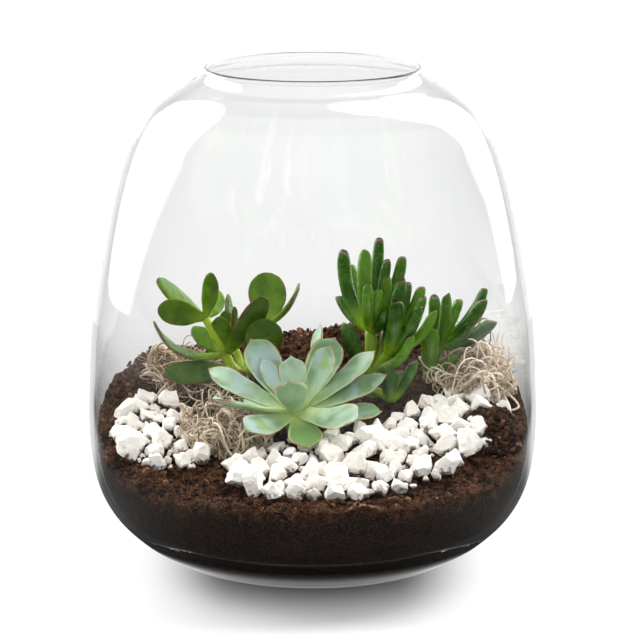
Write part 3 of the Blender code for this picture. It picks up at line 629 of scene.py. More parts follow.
def turned(profile, sides):
    """Points and faces of the body that (radius, height) rows sweep about Z, from pole to pole."""
    angles = np.linspace(0, 2 * math.pi, sides, endpoint=False)
    body = profile[1:-1]
    rings = np.stack([body[:, :1] * np.cos(angles), body[:, :1] * np.sin(angles),
                      np.repeat(body[:, 1:], sides, 1)], -1)
    count = len(body) * sides
    points = np.vstack([rings.reshape(-1, 3), [[0, 0, profile[0][1]], [0, 0, profile[-1][1]]]])
    faces = [ring_faces(len(body), sides), cap_faces(0, sides, count, False),
             cap_faces(count - sides, sides, count + 1)]
    return points, faces


def jar():
    thinned = np.array([ease((height - NECK_FROM) / NECK_OVER) for height in OUTER[:, 1]])
    inner = wall_inside(-NECK_THINNED * thinned)
    end, start = OUTER[-1], inner[-1]
    middle, half = (end + start) / 2, (end - start) / 2
    angles = np.linspace(0, math.pi, LIP_STEPS)[1:-1]
    lip = middle - half * np.cos(angles)[:, None] + np.stack(
        [np.zeros_like(angles), (JAR_HEIGHT - middle[1]) * np.sin(angles)], -1)
    floor = [(radius, FLOOR_THICKNESS) for radius in np.linspace(0, inner[0][0], DISC_RINGS)[:-1]]
    foot = [(radius, 0) for radius in np.linspace(OUTER[0][0], 0, DISC_RINGS)[1:]]
    profile = np.vstack([floor, inner, lip, OUTER[::-1], foot])
    points, faces = turned(profile, JAR_SIDES)
    heap = Heap()
    heap.add(points, [some[:, ::-1] for some in faces], ())
    return heap.made("jar_glass", [clear_glass()], "glass_jar", "clear_glass")


def polar(angle, length):
    return length * math.cos(angle), length * math.sin(angle)


def soil_top():
    """Points, faces and shades of the fine crumbly surface out to the glass, and its rim's vertices. The
    shades rise with the crumbs' height: painted shade in the pits, painted light on the tops.
    """
    line = np.linspace(-1, 1, SOIL_CELLS + 1)
    u, v = np.meshgrid(line, line, indexing="ij")
    disc_x, disc_y = u * np.sqrt(1 - v * v / 2), v * np.sqrt(1 - u * u / 2)
    points, tones_and_pit_shade = np.zeros((*u.shape, 3)), np.zeros(u.shape)
    for spot in np.ndindex(u.shape):
        x, y = disc_x[spot], disc_y[spot]
        share, angle = math.hypot(x, y), math.atan2(y, x)
        reach = SURFACE_REACH * MM
        for _ in range(4):
            reach = inner_radius(ground_height(*polar(angle, reach)) + 0.5 * MM)
        x, y = x * reach, y * reach
        rough = crumble(x, y)
        drift = 2.2 * MM * noise.noise(Vector((x, y, 0.02)) / (15 * MM)) * ease((share - 0.9) / 0.1)
        round_over = 2.2 * MM * ease((share - 0.965) / 0.035)
        points[spot] = (x, y, ground_height(x, y) + rough + drift - round_over)
        # The tone rises with the crumbs' height: painted shade in the pits and painted light on the tops,
        # with a random part.
        tones_and_pit_shade[spot] = 0.55 + 170 * rough + 0.25 * noise.noise(Vector((x, y, 0)) / (2 * MM))
    index = np.arange(u.size).reshape(u.shape)
    faces = np.stack([index[:-1, :-1], index[1:, :-1], index[1:, 1:], index[:-1, 1:]], -1).reshape(-1, 4)
    rim = np.concatenate([index[:-1, 0], index[-1, :-1], index[:0:-1, -1], index[0, :0:-1]])
    return points.reshape(-1, 3), faces, np.clip(tones_and_pit_shade.ravel(), 0, 1), rim


def soil_wall(edge):
    """Points and values of the face pressed against the glass, from the surface's edge down."""
    lengths = np.concatenate([[0], np.cumsum(np.linalg.norm(np.diff(INNER, axis=0), axis=1))])
    wall = np.zeros((WALL_ROWS, len(edge), 3))
    fade = np.linspace(1, 0, WALL_ROWS) ** 12
    for column, (x, y, level) in enumerate(edge):
        top = float(np.interp(level, INNER[:, 1], lengths))
        near = edge[max(0, column - 12):column + 13, 2]
        calm = float(np.interp(near.mean(), INNER[:, 1], lengths))
        down = np.linspace(calm, 0, WALL_ROWS) + (top - calm) * fade
        radius, height = np.interp(down, lengths, INNER[:, 0]), np.interp(down, lengths, INNER[:, 1])
        wall[:, column] = np.stack([*polar(math.atan2(y, x), radius), height], -1)
    wall = wall.reshape(-1, 3)
    dents = np.array([max(0.0, noise.fractal(Vector(point) / (4 * MM), 0.6, 2.2, 2) - 0.25)
                      for point in wall])
    dents *= np.clip((wall[:, 2] / MM - 14) / 12, 0, 1)
    pits = np.array([1 + noise.noise(Vector(point) / (1.7 * MM)) + noise.noise(Vector(point) / (3.4 * MM))
                     for point in wall])
    high = np.repeat(np.linspace(1, 0, WALL_ROWS) ** 5, len(edge))
    wall[:, :2] -= unit(wall[:, :2]) * ((dents * 1.2 + high * pits * 0.5) * MM)[:, None]
    depth = np.linspace(0, 1, WALL_ROWS)[:, None] * (edge[:, 2][None, :] / MM)
    depth = depth.ravel() + [3 * noise.noise(Vector(point) / (6 * MM)) for point in wall]
    return wall, np.column_stack([np.clip(depth / 5, 0, 1), np.full(len(wall), 0.35)])


def soil():
    """The surface, and the face behind the glass closed at the bottom."""
    heap = Heap("side", "tone")
    top, faces, tones_and_pit_shade, rim = soil_top()
    heap.add(top, faces, np.column_stack([np.zeros(len(top)), tones_and_pit_shade]))
    wall, values = soil_wall(top[rim])
    sides = len(rim)
    heap.add(np.vstack([wall, [0, 0, FLOOR_THICKNESS + MOIST_CONTACT]]),
             [ring_faces(WALL_ROWS, sides)[:, ::-1],
              cap_faces((WALL_ROWS - 1) * sides, sides, WALL_ROWS * sides, False)],
             np.vstack([values, [1, 0.3]]))
    return heap.made("soil_body", [SOIL_LOOK], "soil", "peat_soil")


def icosphere(subdivisions):
    shape = bmesh.new()
    bmesh.ops.create_icosphere(shape, subdivisions=subdivisions, radius=1)
    points = np.array([vertex.co for vertex in shape.verts])
    faces = np.array([[vertex.index for vertex in face.verts] for face in shape.faces])
    shape.free()
    return points, faces


def turn_of(draw):
    axis = random_way(draw)
    return np.array(Matrix.Rotation(draw.uniform(0, 2 * math.pi), 3, axis))


def crumb_form(ball, draw):
    form = ball * [draw.uniform(0.6, 1.3) for _ in range(3)]
    return form * (1 + 0.45 * np.array([draw.uniform(-1, 1) for _ in ball]))[:, None]


def add_crumbs(heap, draw, ball, ball_faces):
    made = 0
    while made < CRUMBS:
        x, y = (draw.uniform(-CRUMB_REACH, CRUMB_REACH) * MM for _ in range(2))
        size = (0.5 + 1.5 * draw.random() ** 3) * MM
        ground = ground_height(x, y)
        if math.hypot(x, y) + size * 1.6 > inner_radius(ground + size) - 0.3 * MM:
            continue
        made += 1
        form = crumb_form(ball, draw)
        at = (x, y, ground + crumble(x, y) + 0.35 * size)
        heap.add(form @ turn_of(draw) * size + at, ball_faces, (0, draw.random()))


def wander(x, y, heading, step):
    ahead, aside = polar(heading, step)
    return x + ahead, y + aside


def add_fibres(heap, draw):
    """Short bent fibres that lie on the crumbs."""
    for _ in range(FIBRES):
        x, y = polar(draw.uniform(0, 2 * math.pi), FIBRE_REACH * math.sqrt(draw.random()) * MM)
        heading, bend = draw.uniform(0, 2 * math.pi), draw.uniform(-0.5, 0.5)
        step = draw.uniform(0.5, 1.4) * MM
        path = []
        for _ in range(FIBRE_POINTS):
            path.append((x, y, ground_height(x, y) + crumble(x, y) + draw.uniform(0.2, 0.9) * MM))
            heading += bend
            x, y = wander(x, y, heading, step)
        if math.hypot(x, y) > inner_radius(path[-1][2]) - 2 * MM:
            continue
        add_tube(heap, path, draw.uniform(0.08, 0.2) * MM, 3, (0, draw.uniform(0.8, 1)))


def add_twigs(heap, draw):
    """Thin twigs that rise from the soil, clear of the plants."""
    for (at_x, at_y), reach, count in TWIGS:
        for _ in range(count):
            x, y = (at_x + draw.uniform(-reach, reach)) * MM, (at_y + draw.uniform(-8, 8)) * MM
            heading, bend = draw.uniform(0, 2 * math.pi), draw.uniform(-0.35, 0.35)
            step, rise = draw.uniform(1.2, 2.2) * MM, draw.uniform(0.5, 1.9) * MM
            height, path = ground_height(x, y), []
            for part in range(TWIG_POINTS):
                path.append((x, y, height))
                heading += bend
                x, y = wander(x, y, heading, step)
                height += rise * (1 - 0.16 * part)
            free = all(is_clear(at, 1 * MM, PLANTS) for at in path)
            if free and math.hypot(x, y) < inner_radius(height) - 2 * MM:
                add_tube(heap, path, draw.uniform(0.11, 0.2) * MM, 4, (0, draw.uniform(0.3, 0.9)))


def add_loose_heap(heap, draw, ball, ball_faces):
    for _ in range(HEAP_CRUMBS):
        angle, share = draw.uniform(0, 2 * math.pi), math.sqrt(draw.random())
        x = HEAP_AT[0] + HEAP_REACH[0] * share * math.cos(angle)
        y = HEAP_AT[1] + HEAP_REACH[1] * share * math.sin(angle)
        size = draw.uniform(0.7, 2.1) * MM
        rise = HEAP_HEIGHT * (1 - share ** 2) * (0.75 + 0.5 * noise.noise(Vector((x, y, 0.01)) / (7 * MM)))
        height = ground_height(x, y) + size + rise * (1 - draw.random() ** 2)
        form = crumb_form(ball, draw)
        if math.hypot(x, y) + size * 1.6 < inner_radius(height) - 0.3 * MM:
            heap.add(form @ turn_of(draw) * size + (x, y, height), ball_faces, (0, draw.random()))


def crumbs():
    """Crumbs, fibres and twigs that lie on the soil, and a loose heap over the gravel's right end."""
    draw = random.Random(21)
    ball = icosphere(1)
    heap = Heap("side", "tone")
    add_crumbs(heap, draw, *ball)
    add_fibres(heap, draw)
    add_twigs(heap, draw)
    add_loose_heap(heap, draw, *ball)
    return heap.made("soil_crumbs", [SOIL_LOOK], None, "peat_soil")


def add_tube(heap, path, radius, sides, values):
    path = np.asarray(path, float)
    count = len(path)
    radii = radius * np.minimum(1, 0.45 + 3 * np.minimum(np.arange(count), np.arange(count)[::-1]) / count)
    angles = np.linspace(0, 2 * math.pi, sides, endpoint=False)
    rings = swept(path, radii, radii, np.array((0.21, 0.13, 1.0)), angles)
    points = np.vstack([rings.reshape(-1, 3), path[:1], path[-1:]])
    total = count * sides
    heap.add(points, [ring_faces(count, sides), cap_faces(0, sides, total, False),
                      cap_faces(total - sides, sides, total + 1)], values)


# Gravel


def tree_of(node):
    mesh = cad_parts[node].data
    corners = [vertex.co for vertex in mesh.vertices]
    return BVHTree.FromPolygons(corners, [face.vertices for face in mesh.polygons])


PLANT_NODES = ("jade_plant", "rosette_plant", "finger_plant_left", "finger_plant_right")
PLANTS = [tree_of(node) for node in PLANT_NODES]
MOSS = [tree_of(node) for node in ("moss_left", "moss_front", "moss_right")]


def is_clear(point, distance, obstacles):
    return all(tree.find_nearest(point, distance)[0] is None for tree in obstacles)


def is_inside(x, y, outline):
    inside = False
    for (x1, y1), (x2, y2) in zip(outline, outline[1:] + outline[:1]):
        if (y1 > y) != (y2 > y) and x < x1 + (x2 - x1) * (y - y1) / (y2 - y1):
            inside = not inside
    return inside


def corner_points(radius, draw):
    """The corners of a blocky broken stone about its centre: a leaning box with its corners knocked in."""
    lean = Vector((draw.uniform(-0.5, 0.5), draw.uniform(-0.5, 0.5), 1)).normalized()
    spin = lean.to_track_quat("Z", "Y").to_matrix() @ Matrix.Rotation(draw.uniform(0, 3.14), 3, "Z")
    size = Vector((draw.uniform(0.7, 0.85), draw.uniform(0.55, 0.7), draw.uniform(0.5, 0.65))) * radius
    corners = []
    for corner in range(8):
        signs = Vector((corner & 1, corner >> 1 & 1, corner >> 2 & 1)) * 2 - Vector((1, 1, 1))
        arm = [sign * draw.uniform(0.55, 1.1) * side for sign, side in zip(signs, size)]
        corners.append(spin @ Vector(arm))
    return corners


def add_stone(heap, centre, corners, draw):
    """A broken stone about as large as the hull of the corners: a block cut by planes at random, its
    edges worn a little and its faces uneven."""
    middle = sum(corners, Vector()) / len(corners)
    corners = [corner - middle for corner in corners]
    size = max(corner.length for corner in corners)
    shape = bmesh.new()
    bmesh.ops.create_cube(shape, size=2.2 * size)
    ways = [(corner.normalized(), corner.length * 0.9) for corner in corners]
    for _ in range(STONE_CUTS):
        way = random_way(draw)
        ways.append((way, max(way.dot(corner) for corner in corners) * draw.uniform(0.62, 1.0)))
    for way, away in ways:
        whole = shape.verts[:] + shape.edges[:] + shape.faces[:]
        cut = bmesh.ops.bisect_plane(shape, geom=whole, plane_co=way * away, plane_no=way, clear_outer=True)
        rim = [part for part in cut["geom_cut"] if isinstance(part, bmesh.types.BMEdge)]
        if len(rim) > 2:
            bmesh.ops.edgeloop_fill(shape, edges=rim)
    bmesh.ops.remove_doubles(shape, verts=shape.verts, dist=0.12 * MM)
    bmesh.ops.bevel(shape, geom=shape.edges[:], offset=0.055 * size, segments=1, affect="EDGES",
                    clamp_overlap=True)
    bmesh.ops.triangulate(shape, faces=shape.faces)
    for longest in FACET_LENGTHS:
        long = [edge for edge in shape.edges if edge.calc_length() > longest * size]
        bmesh.ops.subdivide_edges(shape, edges=long, cuts=1)
        bmesh.ops.triangulate(shape, faces=shape.faces)
    seed = random_spot(draw, 50)
    for vertex in shape.verts:
        way = vertex.co / size
        bulge = 0.11 * noise.noise(way * 1.5 + seed) + 0.07 * noise.fractal(way * 3.2 + seed, 0.6, 2.2, 4)
        vertex.co += vertex.co * bulge
    shape.verts.index_update()
    points = np.array([vertex.co + centre + middle for vertex in shape.verts])
    faces = np.array([[vertex.index for vertex in face.verts] for face in shape.faces])
    shape.free()
    # How low each point sits on its stone; the marble darkens it there, peat dusting with painted shade for
    # the gaps.
    depth = np.clip(0.5 - 0.6 * (points[:, 2] - centre.z) / size, 0, 1)
    heap.add(points, faces, np.column_stack([np.full(len(points), draw.random()), depth]))


def gravel(name, outline, seed, fill_seed):
    """The CAD source's stones, placed by its rule, and smaller ones between and on them."""
    draw = random.Random(seed)
    extra = random.Random(fill_seed)
    stones = []
    heap = Heap("tone", "low")
    low_x, high_x = min(x for x, _ in outline), max(x for x, _ in outline)
    low_y, high_y = min(y for _, y in outline), max(y for _, y in outline)
    obstacles = PLANTS + MOSS
    for _ in range(STONE_TRIES):
        x, y = draw.uniform(low_x, high_x), draw.uniform(low_y, high_y)
        radius = draw.uniform(*STONE_RADIUS)
        if not is_inside(x, y, outline) or math.hypot(x, y) * MM + radius * 1.1 > STONE_REACH:
            continue
        height = soil_height(x * MM, y * MM) + radius * draw.uniform(0.55, 0.85)
        centre = Vector((x * MM, y * MM, height))
        if any((centre - other).length < STONE_SPACING for other, _ in stones):
            continue
        if not is_clear(centre, radius * 1.2 + STONE_CLEARANCE, obstacles):
            continue
        stones.append((centre, radius))
        growth = STONE_GROWTH * extra.uniform(0.84, 1.08)
        add_stone(heap, centre, [corner * growth for corner in corner_points(radius, draw)], extra)
    for low, high, tries in FILLERS:
        for _ in range(tries):
            x, y = extra.uniform(low_x, high_x) * MM, extra.uniform(low_y, high_y) * MM
            radius = extra.uniform(low, high) * MM
            if not is_inside(x / MM, y / MM, outline) or math.hypot(x, y) + radius > STONE_REACH:
                continue
            centre = Vector((x, y, soil_height(x, y) + radius * extra.uniform(0.5, 1.0) + 1 * MM))
            if any((centre - other).length < 0.79 * (radius + size) for other, size in stones):
                continue
            if not is_clear(centre, radius * 0.9 + STONE_CLEARANCE, obstacles):
                continue
            stones.append((centre, radius))
            corners = [corner * STONE_GROWTH for corner in corner_points(radius, extra)]
            add_stone(heap, centre, corners, extra)
    return heap.made(name + "_stones", [MARBLE_LOOK], name, "white_marble", False)


# Moss

# Node, middle, reach, strands, seed, lightness; the left clump's lower lightness is painted shade under the
# jade's leaves
MOSS_CLUMPS = [
    ("moss_left", (-71, 33), (24, 22), 130, 3, 0.55),
    ("moss_front", (-47, -24), (24, 22), 180, 9, 0.95),
    ("moss_right", (93, 36), (25, 30), 260, 11, 1.0),
]
STRAND_POINTS, STRAND_STEP = (12, 34), (1.6, 2.4)


def strand_path(at, reach, draw):
    """A curled path that stays in and around the clump, above the soil and clear of the plants."""
    angle, share = draw.uniform(0, 2 * math.pi), math.sqrt(draw.random())
    x = (at[0] + reach[0] * share * math.cos(angle)) * MM
    y = (at[1] + reach[1] * share * math.sin(angle)) * MM
    height = 13 * MM * (1 - 0.7 * share * share)
    point = Vector((x, y, ground_height(x, y) + draw.uniform(1.0 * MM, max(height, 2 * MM))))
    heading = Vector((draw.gauss(0, 1), draw.gauss(0, 1), draw.gauss(0, 0.45))).normalized()
    axis = random_way(draw)
    curl = draw.uniform(0.05, 0.26)
    step = draw.uniform(*STRAND_STEP) * MM
    path = [point]
    middle = Vector((at[0] * MM, at[1] * MM, 0))
    for _ in range(draw.randint(*STRAND_POINTS)):
        axis = (axis + 0.22 * Vector((draw.gauss(0, 1), draw.gauss(0, 1), draw.gauss(0, 1)))).normalized()
        heading = (heading + curl * axis.cross(heading)).normalized()
        ground = ground_height(point.x, point.y)
        if point.z < ground + 1.5 * MM:
            heading = (heading + Vector((0, 0, 0.9))).normalized()
        if point.z > ground + 12 * MM:
            heading = (heading - Vector((0, 0, 0.35))).normalized()
        away = Vector(((point.x - middle.x) / reach[0], (point.y - middle.y) / reach[1], 0)) / MM
        if away.length > 1.05:
            heading = (heading - 0.5 * away.normalized()).normalized()
        point = point + heading * step
        if math.hypot(point.x, point.y) > inner_radius(point.z) - 1.2 * MM:
            break
        if not is_clear(point, 0.7 * MM, PLANTS):
            break
        path.append(point)
    return path


def moss(name, at, reach, strands, seed, light):
    draw = random.Random(seed)
    heap = Heap("tone")
    made = 0
    while made < strands:
        path = strand_path(at, reach, draw)
        if len(path) < 7:
            continue
        made += 1
        fine = smooth_curve([tuple(point) for point in path], 2)
        width = draw.random() ** 1.6
        # The clump's lightness scales every strand's tone: painted shade for the left clump.
        tone = light * min(1, draw.uniform(0, 0.75) + 0.35 * width)
        add_tube(heap, fine, (0.22 + 0.6 * width) * MM, 5, (tone,))
    return heap.made(name + "_strands", [MOSS_LOOK], name, "dry_moss")


# Plants

# What each vertex of a leaf says: its share of the length, nearness to the edge, upper side, own shade.
LEAF_VALUES = ("along", "edge", "upper", "tone")
LEAF_STEPS, FINGER_SIDES, STEM_SIDES = 4, 18, 16
BRANCH = 0.4
LEAF_ANGLES = np.linspace(0, 2 * math.pi, 24, endpoint=False)
LEAF_ANGLES = LEAF_ANGLES - 0.3 * np.sin(2 * LEAF_ANGLES)
# A finger leaf's (share of length, of half width), over the rim and into the dish.
FINGER_PROFILE = smooth_curve([
    (0, 0.62), (0.06, 0.76), (0.16, 0.88), (0.35, 0.99), (0.6, 1.04), (0.8, 1.02), (0.9, 0.95),
    (0.96, 0.82), (0.99, 0.67), (1, 0.55), (0.995, 0.44), (0.98, 0.26), (0.972, 0.1), (0.97, 0.01),
], 3)


def blade(outline, tip_share, blunt):
    """Fine (share of length, width, thickness) rows of a leaf outline, rounded over at its tip."""
    last = outline[-1]
    shoulder = (0.5 * (last[0] + tip_share) + 0.004, last[1] * blunt, last[2] * 0.7)
    mirrored = [*outline, shoulder, (tip_share, 0, 0), (shoulder[0], -shoulder[1], -shoulder[2])]
    return smooth_curve(mirrored, LEAF_STEPS)[:-LEAF_STEPS]


def add_round(heap, flat, sides, tip, foot, values, look=0):
    """Adds one closed form, given in millimetres: its rings in a row, then its tip and its foot."""
    total = len(flat)
    heap.add(np.vstack([flat, tip, foot]) * MM,
             [ring_faces(total // sides, sides), cap_faces(total - sides, sides, total),
              cap_faces(0, sides, total + 1, False)], values, look)


def uneven(flat, size, seed):
    """A smooth noise at each point, with lumps of this size."""
    return np.array([noise.noise(Vector(point) / size + seed) for point in flat])


def add_leaf(heap, kind, root, tip, width, bow, facing, tone, draw):
    outline, thickness, cup, rounding, blunt, wave = kind
    root, tip, facing = np.array(root, float), np.array(tip, float), unit(np.array(facing, float))
    length = np.linalg.norm(tip - root)
    along = (tip - root) / length
    up = unit(facing - along * (facing @ along))
    rows = blade(outline, outline[-1][0] + rounding / length, blunt)
    share = rows[:, :1]
    spine = root + (tip - root) * share - up * bow * 4 * share * (1 - share)
    widths, depths = rows[:, 1] * width / 2, np.maximum(rows[:, 2], 0) * thickness / 2
    rings = swept(spine[:-1], widths[:-1], depths[:-1], facing, LEAF_ANGLES, cup)
    flat = rings.reshape(-1, 3)
    margin = np.tile(np.abs(np.cos(LEAF_ANGLES)), len(rings))
    reach = np.repeat(share[:-1, 0], len(LEAF_ANGLES))
    push = uneven(flat, 9, random_spot(draw, 60))
    flat = flat + up * (wave * push * (0.3 + margin * reach))[:, None]
    values = np.zeros((len(flat) + 2, 4))
    values[:-2, 0] = reach / share[-1, 0]
    values[:-2, 1] = margin
    values[:-2, 2] = np.tile(0.5 + 0.5 * np.sin(LEAF_ANGLES), len(rings))
    values[-2:, :3] = (1, 0, 0.5), (0, 0, 0.5)
    values[:, 3] = tone
    add_round(heap, flat, len(LEAF_ANGLES), spine[-1], spine[0], values)


def add_finger(heap, root, tip, width, bow, draw):
    """A round leaf whose blunt tip has a shallow dish with a brown rim."""
    root, tip = np.array(root, float), np.array(tip, float)
    along = tip - root
    outwards = unit(np.array((along[0], along[1], 0.01)))
    facing = unit(np.array((0, 0, 1)) - outwards * 0.3)
    length = np.linalg.norm(along)
    sag = unit(facing - along / length * (facing @ along / length)) * bow
    far, thick = FINGER_PROFILE[:, 0], FINGER_PROFILE[:, 1]
    share = FINGER_PROFILE[:, :1]
    spine = root + along * share - sag * 4 * share * (1 - share)
    ahead = root + along * (share + 0.01) - sag * 4 * (share + 0.01) * (1 - share - 0.01)
    way = unit(ahead - spine)
    up = unit(facing - way * (way @ facing)[:, None])
    across = np.cross(way, up)
    angles = np.linspace(0, 2 * math.pi, FINGER_SIDES, endpoint=False)
    half = thick * width / 2 * 1.1
    flatness = draw.uniform(0.8, 0.92)
    rings = (spine[:, None] + across[:, None] * (half[:, None] * np.cos(angles))[..., None]
             + up[:, None] * (half[:, None] * flatness * np.sin(angles))[..., None])
    flat, centre = rings.reshape(-1, 3), np.repeat(spine, FINGER_SIDES, 0)
    swell = uneven(flat, 6, random_spot(draw, 60))
    flat = centre + (flat - centre) * (1 + 0.07 * swell)[:, None]
    slant = draw.uniform(0.15, 0.75) * np.clip((far - 0.8) / 0.2, 0, 1)
    lean = np.repeat(slant * half, FINGER_SIDES) * np.tile(np.sin(angles), len(rings))
    flat = flat - np.repeat(way, FINGER_SIDES, 0) * lean[:, None]
    # 0 to 1 up to the rim, and on to 1.2 in the middle of the dish
    reach = np.where(np.arange(len(rings)) <= int(np.argmax(far)), far, 1 + 0.2 * (1 - thick / 0.55))
    values = np.zeros((len(flat) + 2, 4))
    values[:-2, 0] = np.repeat(reach, FINGER_SIDES)
    values[:-2, 2] = np.tile(0.5 + 0.5 * np.sin(angles), len(rings))
    values[-2] = (1.2, 0, 0.5, 0)
    values[:, 3] = draw.random()
    add_round(heap, flat, FINGER_SIDES, spine[-1], spine[0], values)


def add_fingers(heap, groups, draw):
    for root, leaves in groups:
        for leaf in leaves:
            add_finger(heap, root, *leaf, draw)


def add_stem(heap, points, radii, draw, start=0.0):
    """A round stem with slight swellings, through the points, in millimetres; a branch starts at
    `start` of the plant's age."""
    path = smooth_curve([(*point, radius) for point, radius in zip(points, radii)], 7)
    spine, radius = path[:, :3], path[:, 3]
    angles = np.linspace(0, 2 * math.pi, STEM_SIDES, endpoint=False)
    rings = swept(spine, radius, radius, np.array((0.3, -1, 0.1)), angles)
    flat, centre = rings.reshape(-1, 3), np.repeat(spine, STEM_SIDES, 0)
    swell = uneven(flat, 5, random_spot(draw, 60))
    flat = centre + (flat - centre) * (1 + 0.12 * swell)[:, None]
    values = np.zeros((len(flat) + 2, 4))
    values[:-2, 0] = np.repeat(np.linspace(start, 1, len(spine)), STEM_SIDES)
    values[-2:, 0] = (1, start)
    way = unit(spine[-1] - spine[-2])
    add_round(heap, flat, STEM_SIDES, spine[-1] + way * 0.5, spine[0], values, 1)


def foot_of(root):
    x, y = root
    ground = soil_height(x * MM, y * MM) / MM
    return [(x, y, ground - 11.5), (x, y, ground + 1)]


def jade_plant():
    draw = random.Random(31)
    heap = Heap(*LEAF_VALUES)
    x, y = JADE_ROOT
    trunk = [*foot_of(JADE_ROOT), JADE_LOWER, JADE_FORK, JADE_UPPER]
    add_stem(heap, trunk, [3.6, 3.6, 3.2, 3.0, 2.3], draw)
    rear = [(x, y + 0.6, 97), (-36, 42, 102), JADE_REAR, JADE_CROWN]
    add_stem(heap, rear, [2.6, 2.8, 2.6, 2.2], draw, BRANCH)
    add_stem(heap, [(x - 1, y, 98.5), (-42, 41, 103), JADE_TWIN], [2.2, 2.5, 2.2], draw, BRANCH)
    add_stem(heap, [(x + 0.4, y - 1, 97), (-36, 30, 100), JADE_FRONT], [2.3, 2.6, 2.2], draw, BRANCH)
    for root, leaves in JADE_LEAVES:
        for leaf in leaves:
            add_leaf(heap, JADE_KIND, root, *leaf, draw)
    skin = stem_skin("jade_stem", (0.15, 0.13, 0.04), (0.32, 0.47, 0.012))
    return heap.made("jade_plant_leaves", [jade_leaf(), skin], "jade_plant", "jade_leaf")


def rosette_plant():
    draw = random.Random(37)
    heap = Heap(*LEAF_VALUES)
    x, y, z = ROSETTE_HEART
    add_stem(heap, [*foot_of(ROSETTE_ROOT), (x, y, z - 6), (x, y, z + 3)], [5.5, 5.5, 6, 4.5], draw)
    for index, (tip, width, bow, facing) in enumerate(ROSETTE_LEAVES):
        # Tone 0 gives the low front leaf its painted shade.
        tone = 0.0 if index == ROSETTE_SHADED else draw.uniform(0.2, 1)
        add_leaf(heap, ROSETTE_KIND, ROSETTE_HEART, tip, width, bow, facing, tone, draw)
    skin = stem_skin("rosette_stem", (0.28, 0.32, 0.10), (0.42, 0.56, 0.18))
    return heap.made("rosette_plant_leaves", [rosette_leaf(), skin], "rosette_plant", "rosette_leaf")


def finger_plants():
    looks = [finger_leaf(), stem_skin("finger_stem", (0.15, 0.19, 0.02), (0.20, 0.34, 0.008))]
    draw = random.Random(41)
    x, y = FINGER_LEFT_ROOT
    left = Heap(*LEAF_VALUES)
    trunk = [*foot_of(FINGER_LEFT_ROOT), FINGER_LEFT_LOW, FINGER_LEFT_HEAD]
    add_stem(left, trunk, [3.6, 3.6, 3.3, 3.4], draw)
    add_stem(left, [(x + 0.5, y, 93), FINGER_FORK_LOW, FINGER_FORK], [2.7, 3, 2.8], draw, BRANCH)
    add_stem(left, [(x, y - 0.5, 90.5), (39, 14, 90), FINGER_SPUR], [2.2, 2.4, 2.2], draw, BRANCH)
    add_fingers(left, FINGER_LEFT_LEAVES, draw)
    left.made("finger_plant_left_leaves", looks, "finger_plant_left", "finger_leaf")
    right = Heap(*LEAF_VALUES)
    trunk = [*foot_of(FINGER_RIGHT_ROOT), FINGER_RIGHT_LOW, FINGER_RIGHT_HEAD]
    add_stem(right, trunk, [3.6, 3.6, 3.4, 3.4], draw)
    add_fingers(right, FINGER_RIGHT_LEAVES, draw)
    right.made("finger_plant_right_leaves", looks, "finger_plant_right", "finger_leaf")


# Studio

# The floor's brightness: near the jar, far from it, beside it as seen through the glass, and under it.
FLOOR_RADIUS = 14
FLOOR_NEAR, FLOOR_FAR, BESIDE, UNDER_GLOW = 0.61, 1.08, 0.66, 0.42
BACKDROP_SLOPE, BACKDROP_HALF, NEAR_SHEEN, NEAR_DIM, ALL_ROUND = 0.6, 0.118, 0.12, 0.6, 0.45
# The sky's brightness as a light, and as the glass mirrors it.
SKY_LOW, SKY_HIGH = 0.8, 1.08
MIRRORED_FRONT, MIRRORED_BACK, MIRRORED_TOP = 0.02, 0.75, 0.4
# Soft panels: name, azimuth (0 towards the camera, positive to the right), distance, width, height,
# radiance.
PANELS = [
    ("panel_left", -122, 1.6, 1.1, 2.3, 8.2),
    ("panel_right", 136, 1.5, 1.15, 3.2, 9.8),
]
# The same two as the glass mirrors them: corners as (azimuth, height) in degrees seen from the jar.
MIRRORED_AWAY, MIRRORED_LIFT = 1.8, 0.2
PANEL_MIRRORED = 2.6
MIRRORED_PANELS = [
    ("mirrored_left", [
        (-110, -4), (-105, 1), (-100, 5), (-96, 10), (-92, 18), (-90, 27), (-96, 41), (-109, 50),
        (-128, 54), (-144, 50), (-150, 42), (-154, 23), (-148, 13), (-143, 7), (-143, 1), (-141, -5),
        (-133, -6.3)
    ]),
    ("mirrored_right", [
        (122, -5), (121, 2), (116, 8), (113, 15), (112, 28), (117, 38), (121, 48), (126, 57), (133, 69),
        (156, 70), (168, 69.3), (169, 69), (164, 67.5), (151, 57), (153, 50), (155, 31), (155, 19),
        (147, 10), (144, 3), (141, -3), (138, -6)
    ]),
]


def mesh_of(shape, name):
    mesh = bpy.data.meshes.new(name)
    shape.to_mesh(mesh)
    shape.free()
    return mesh


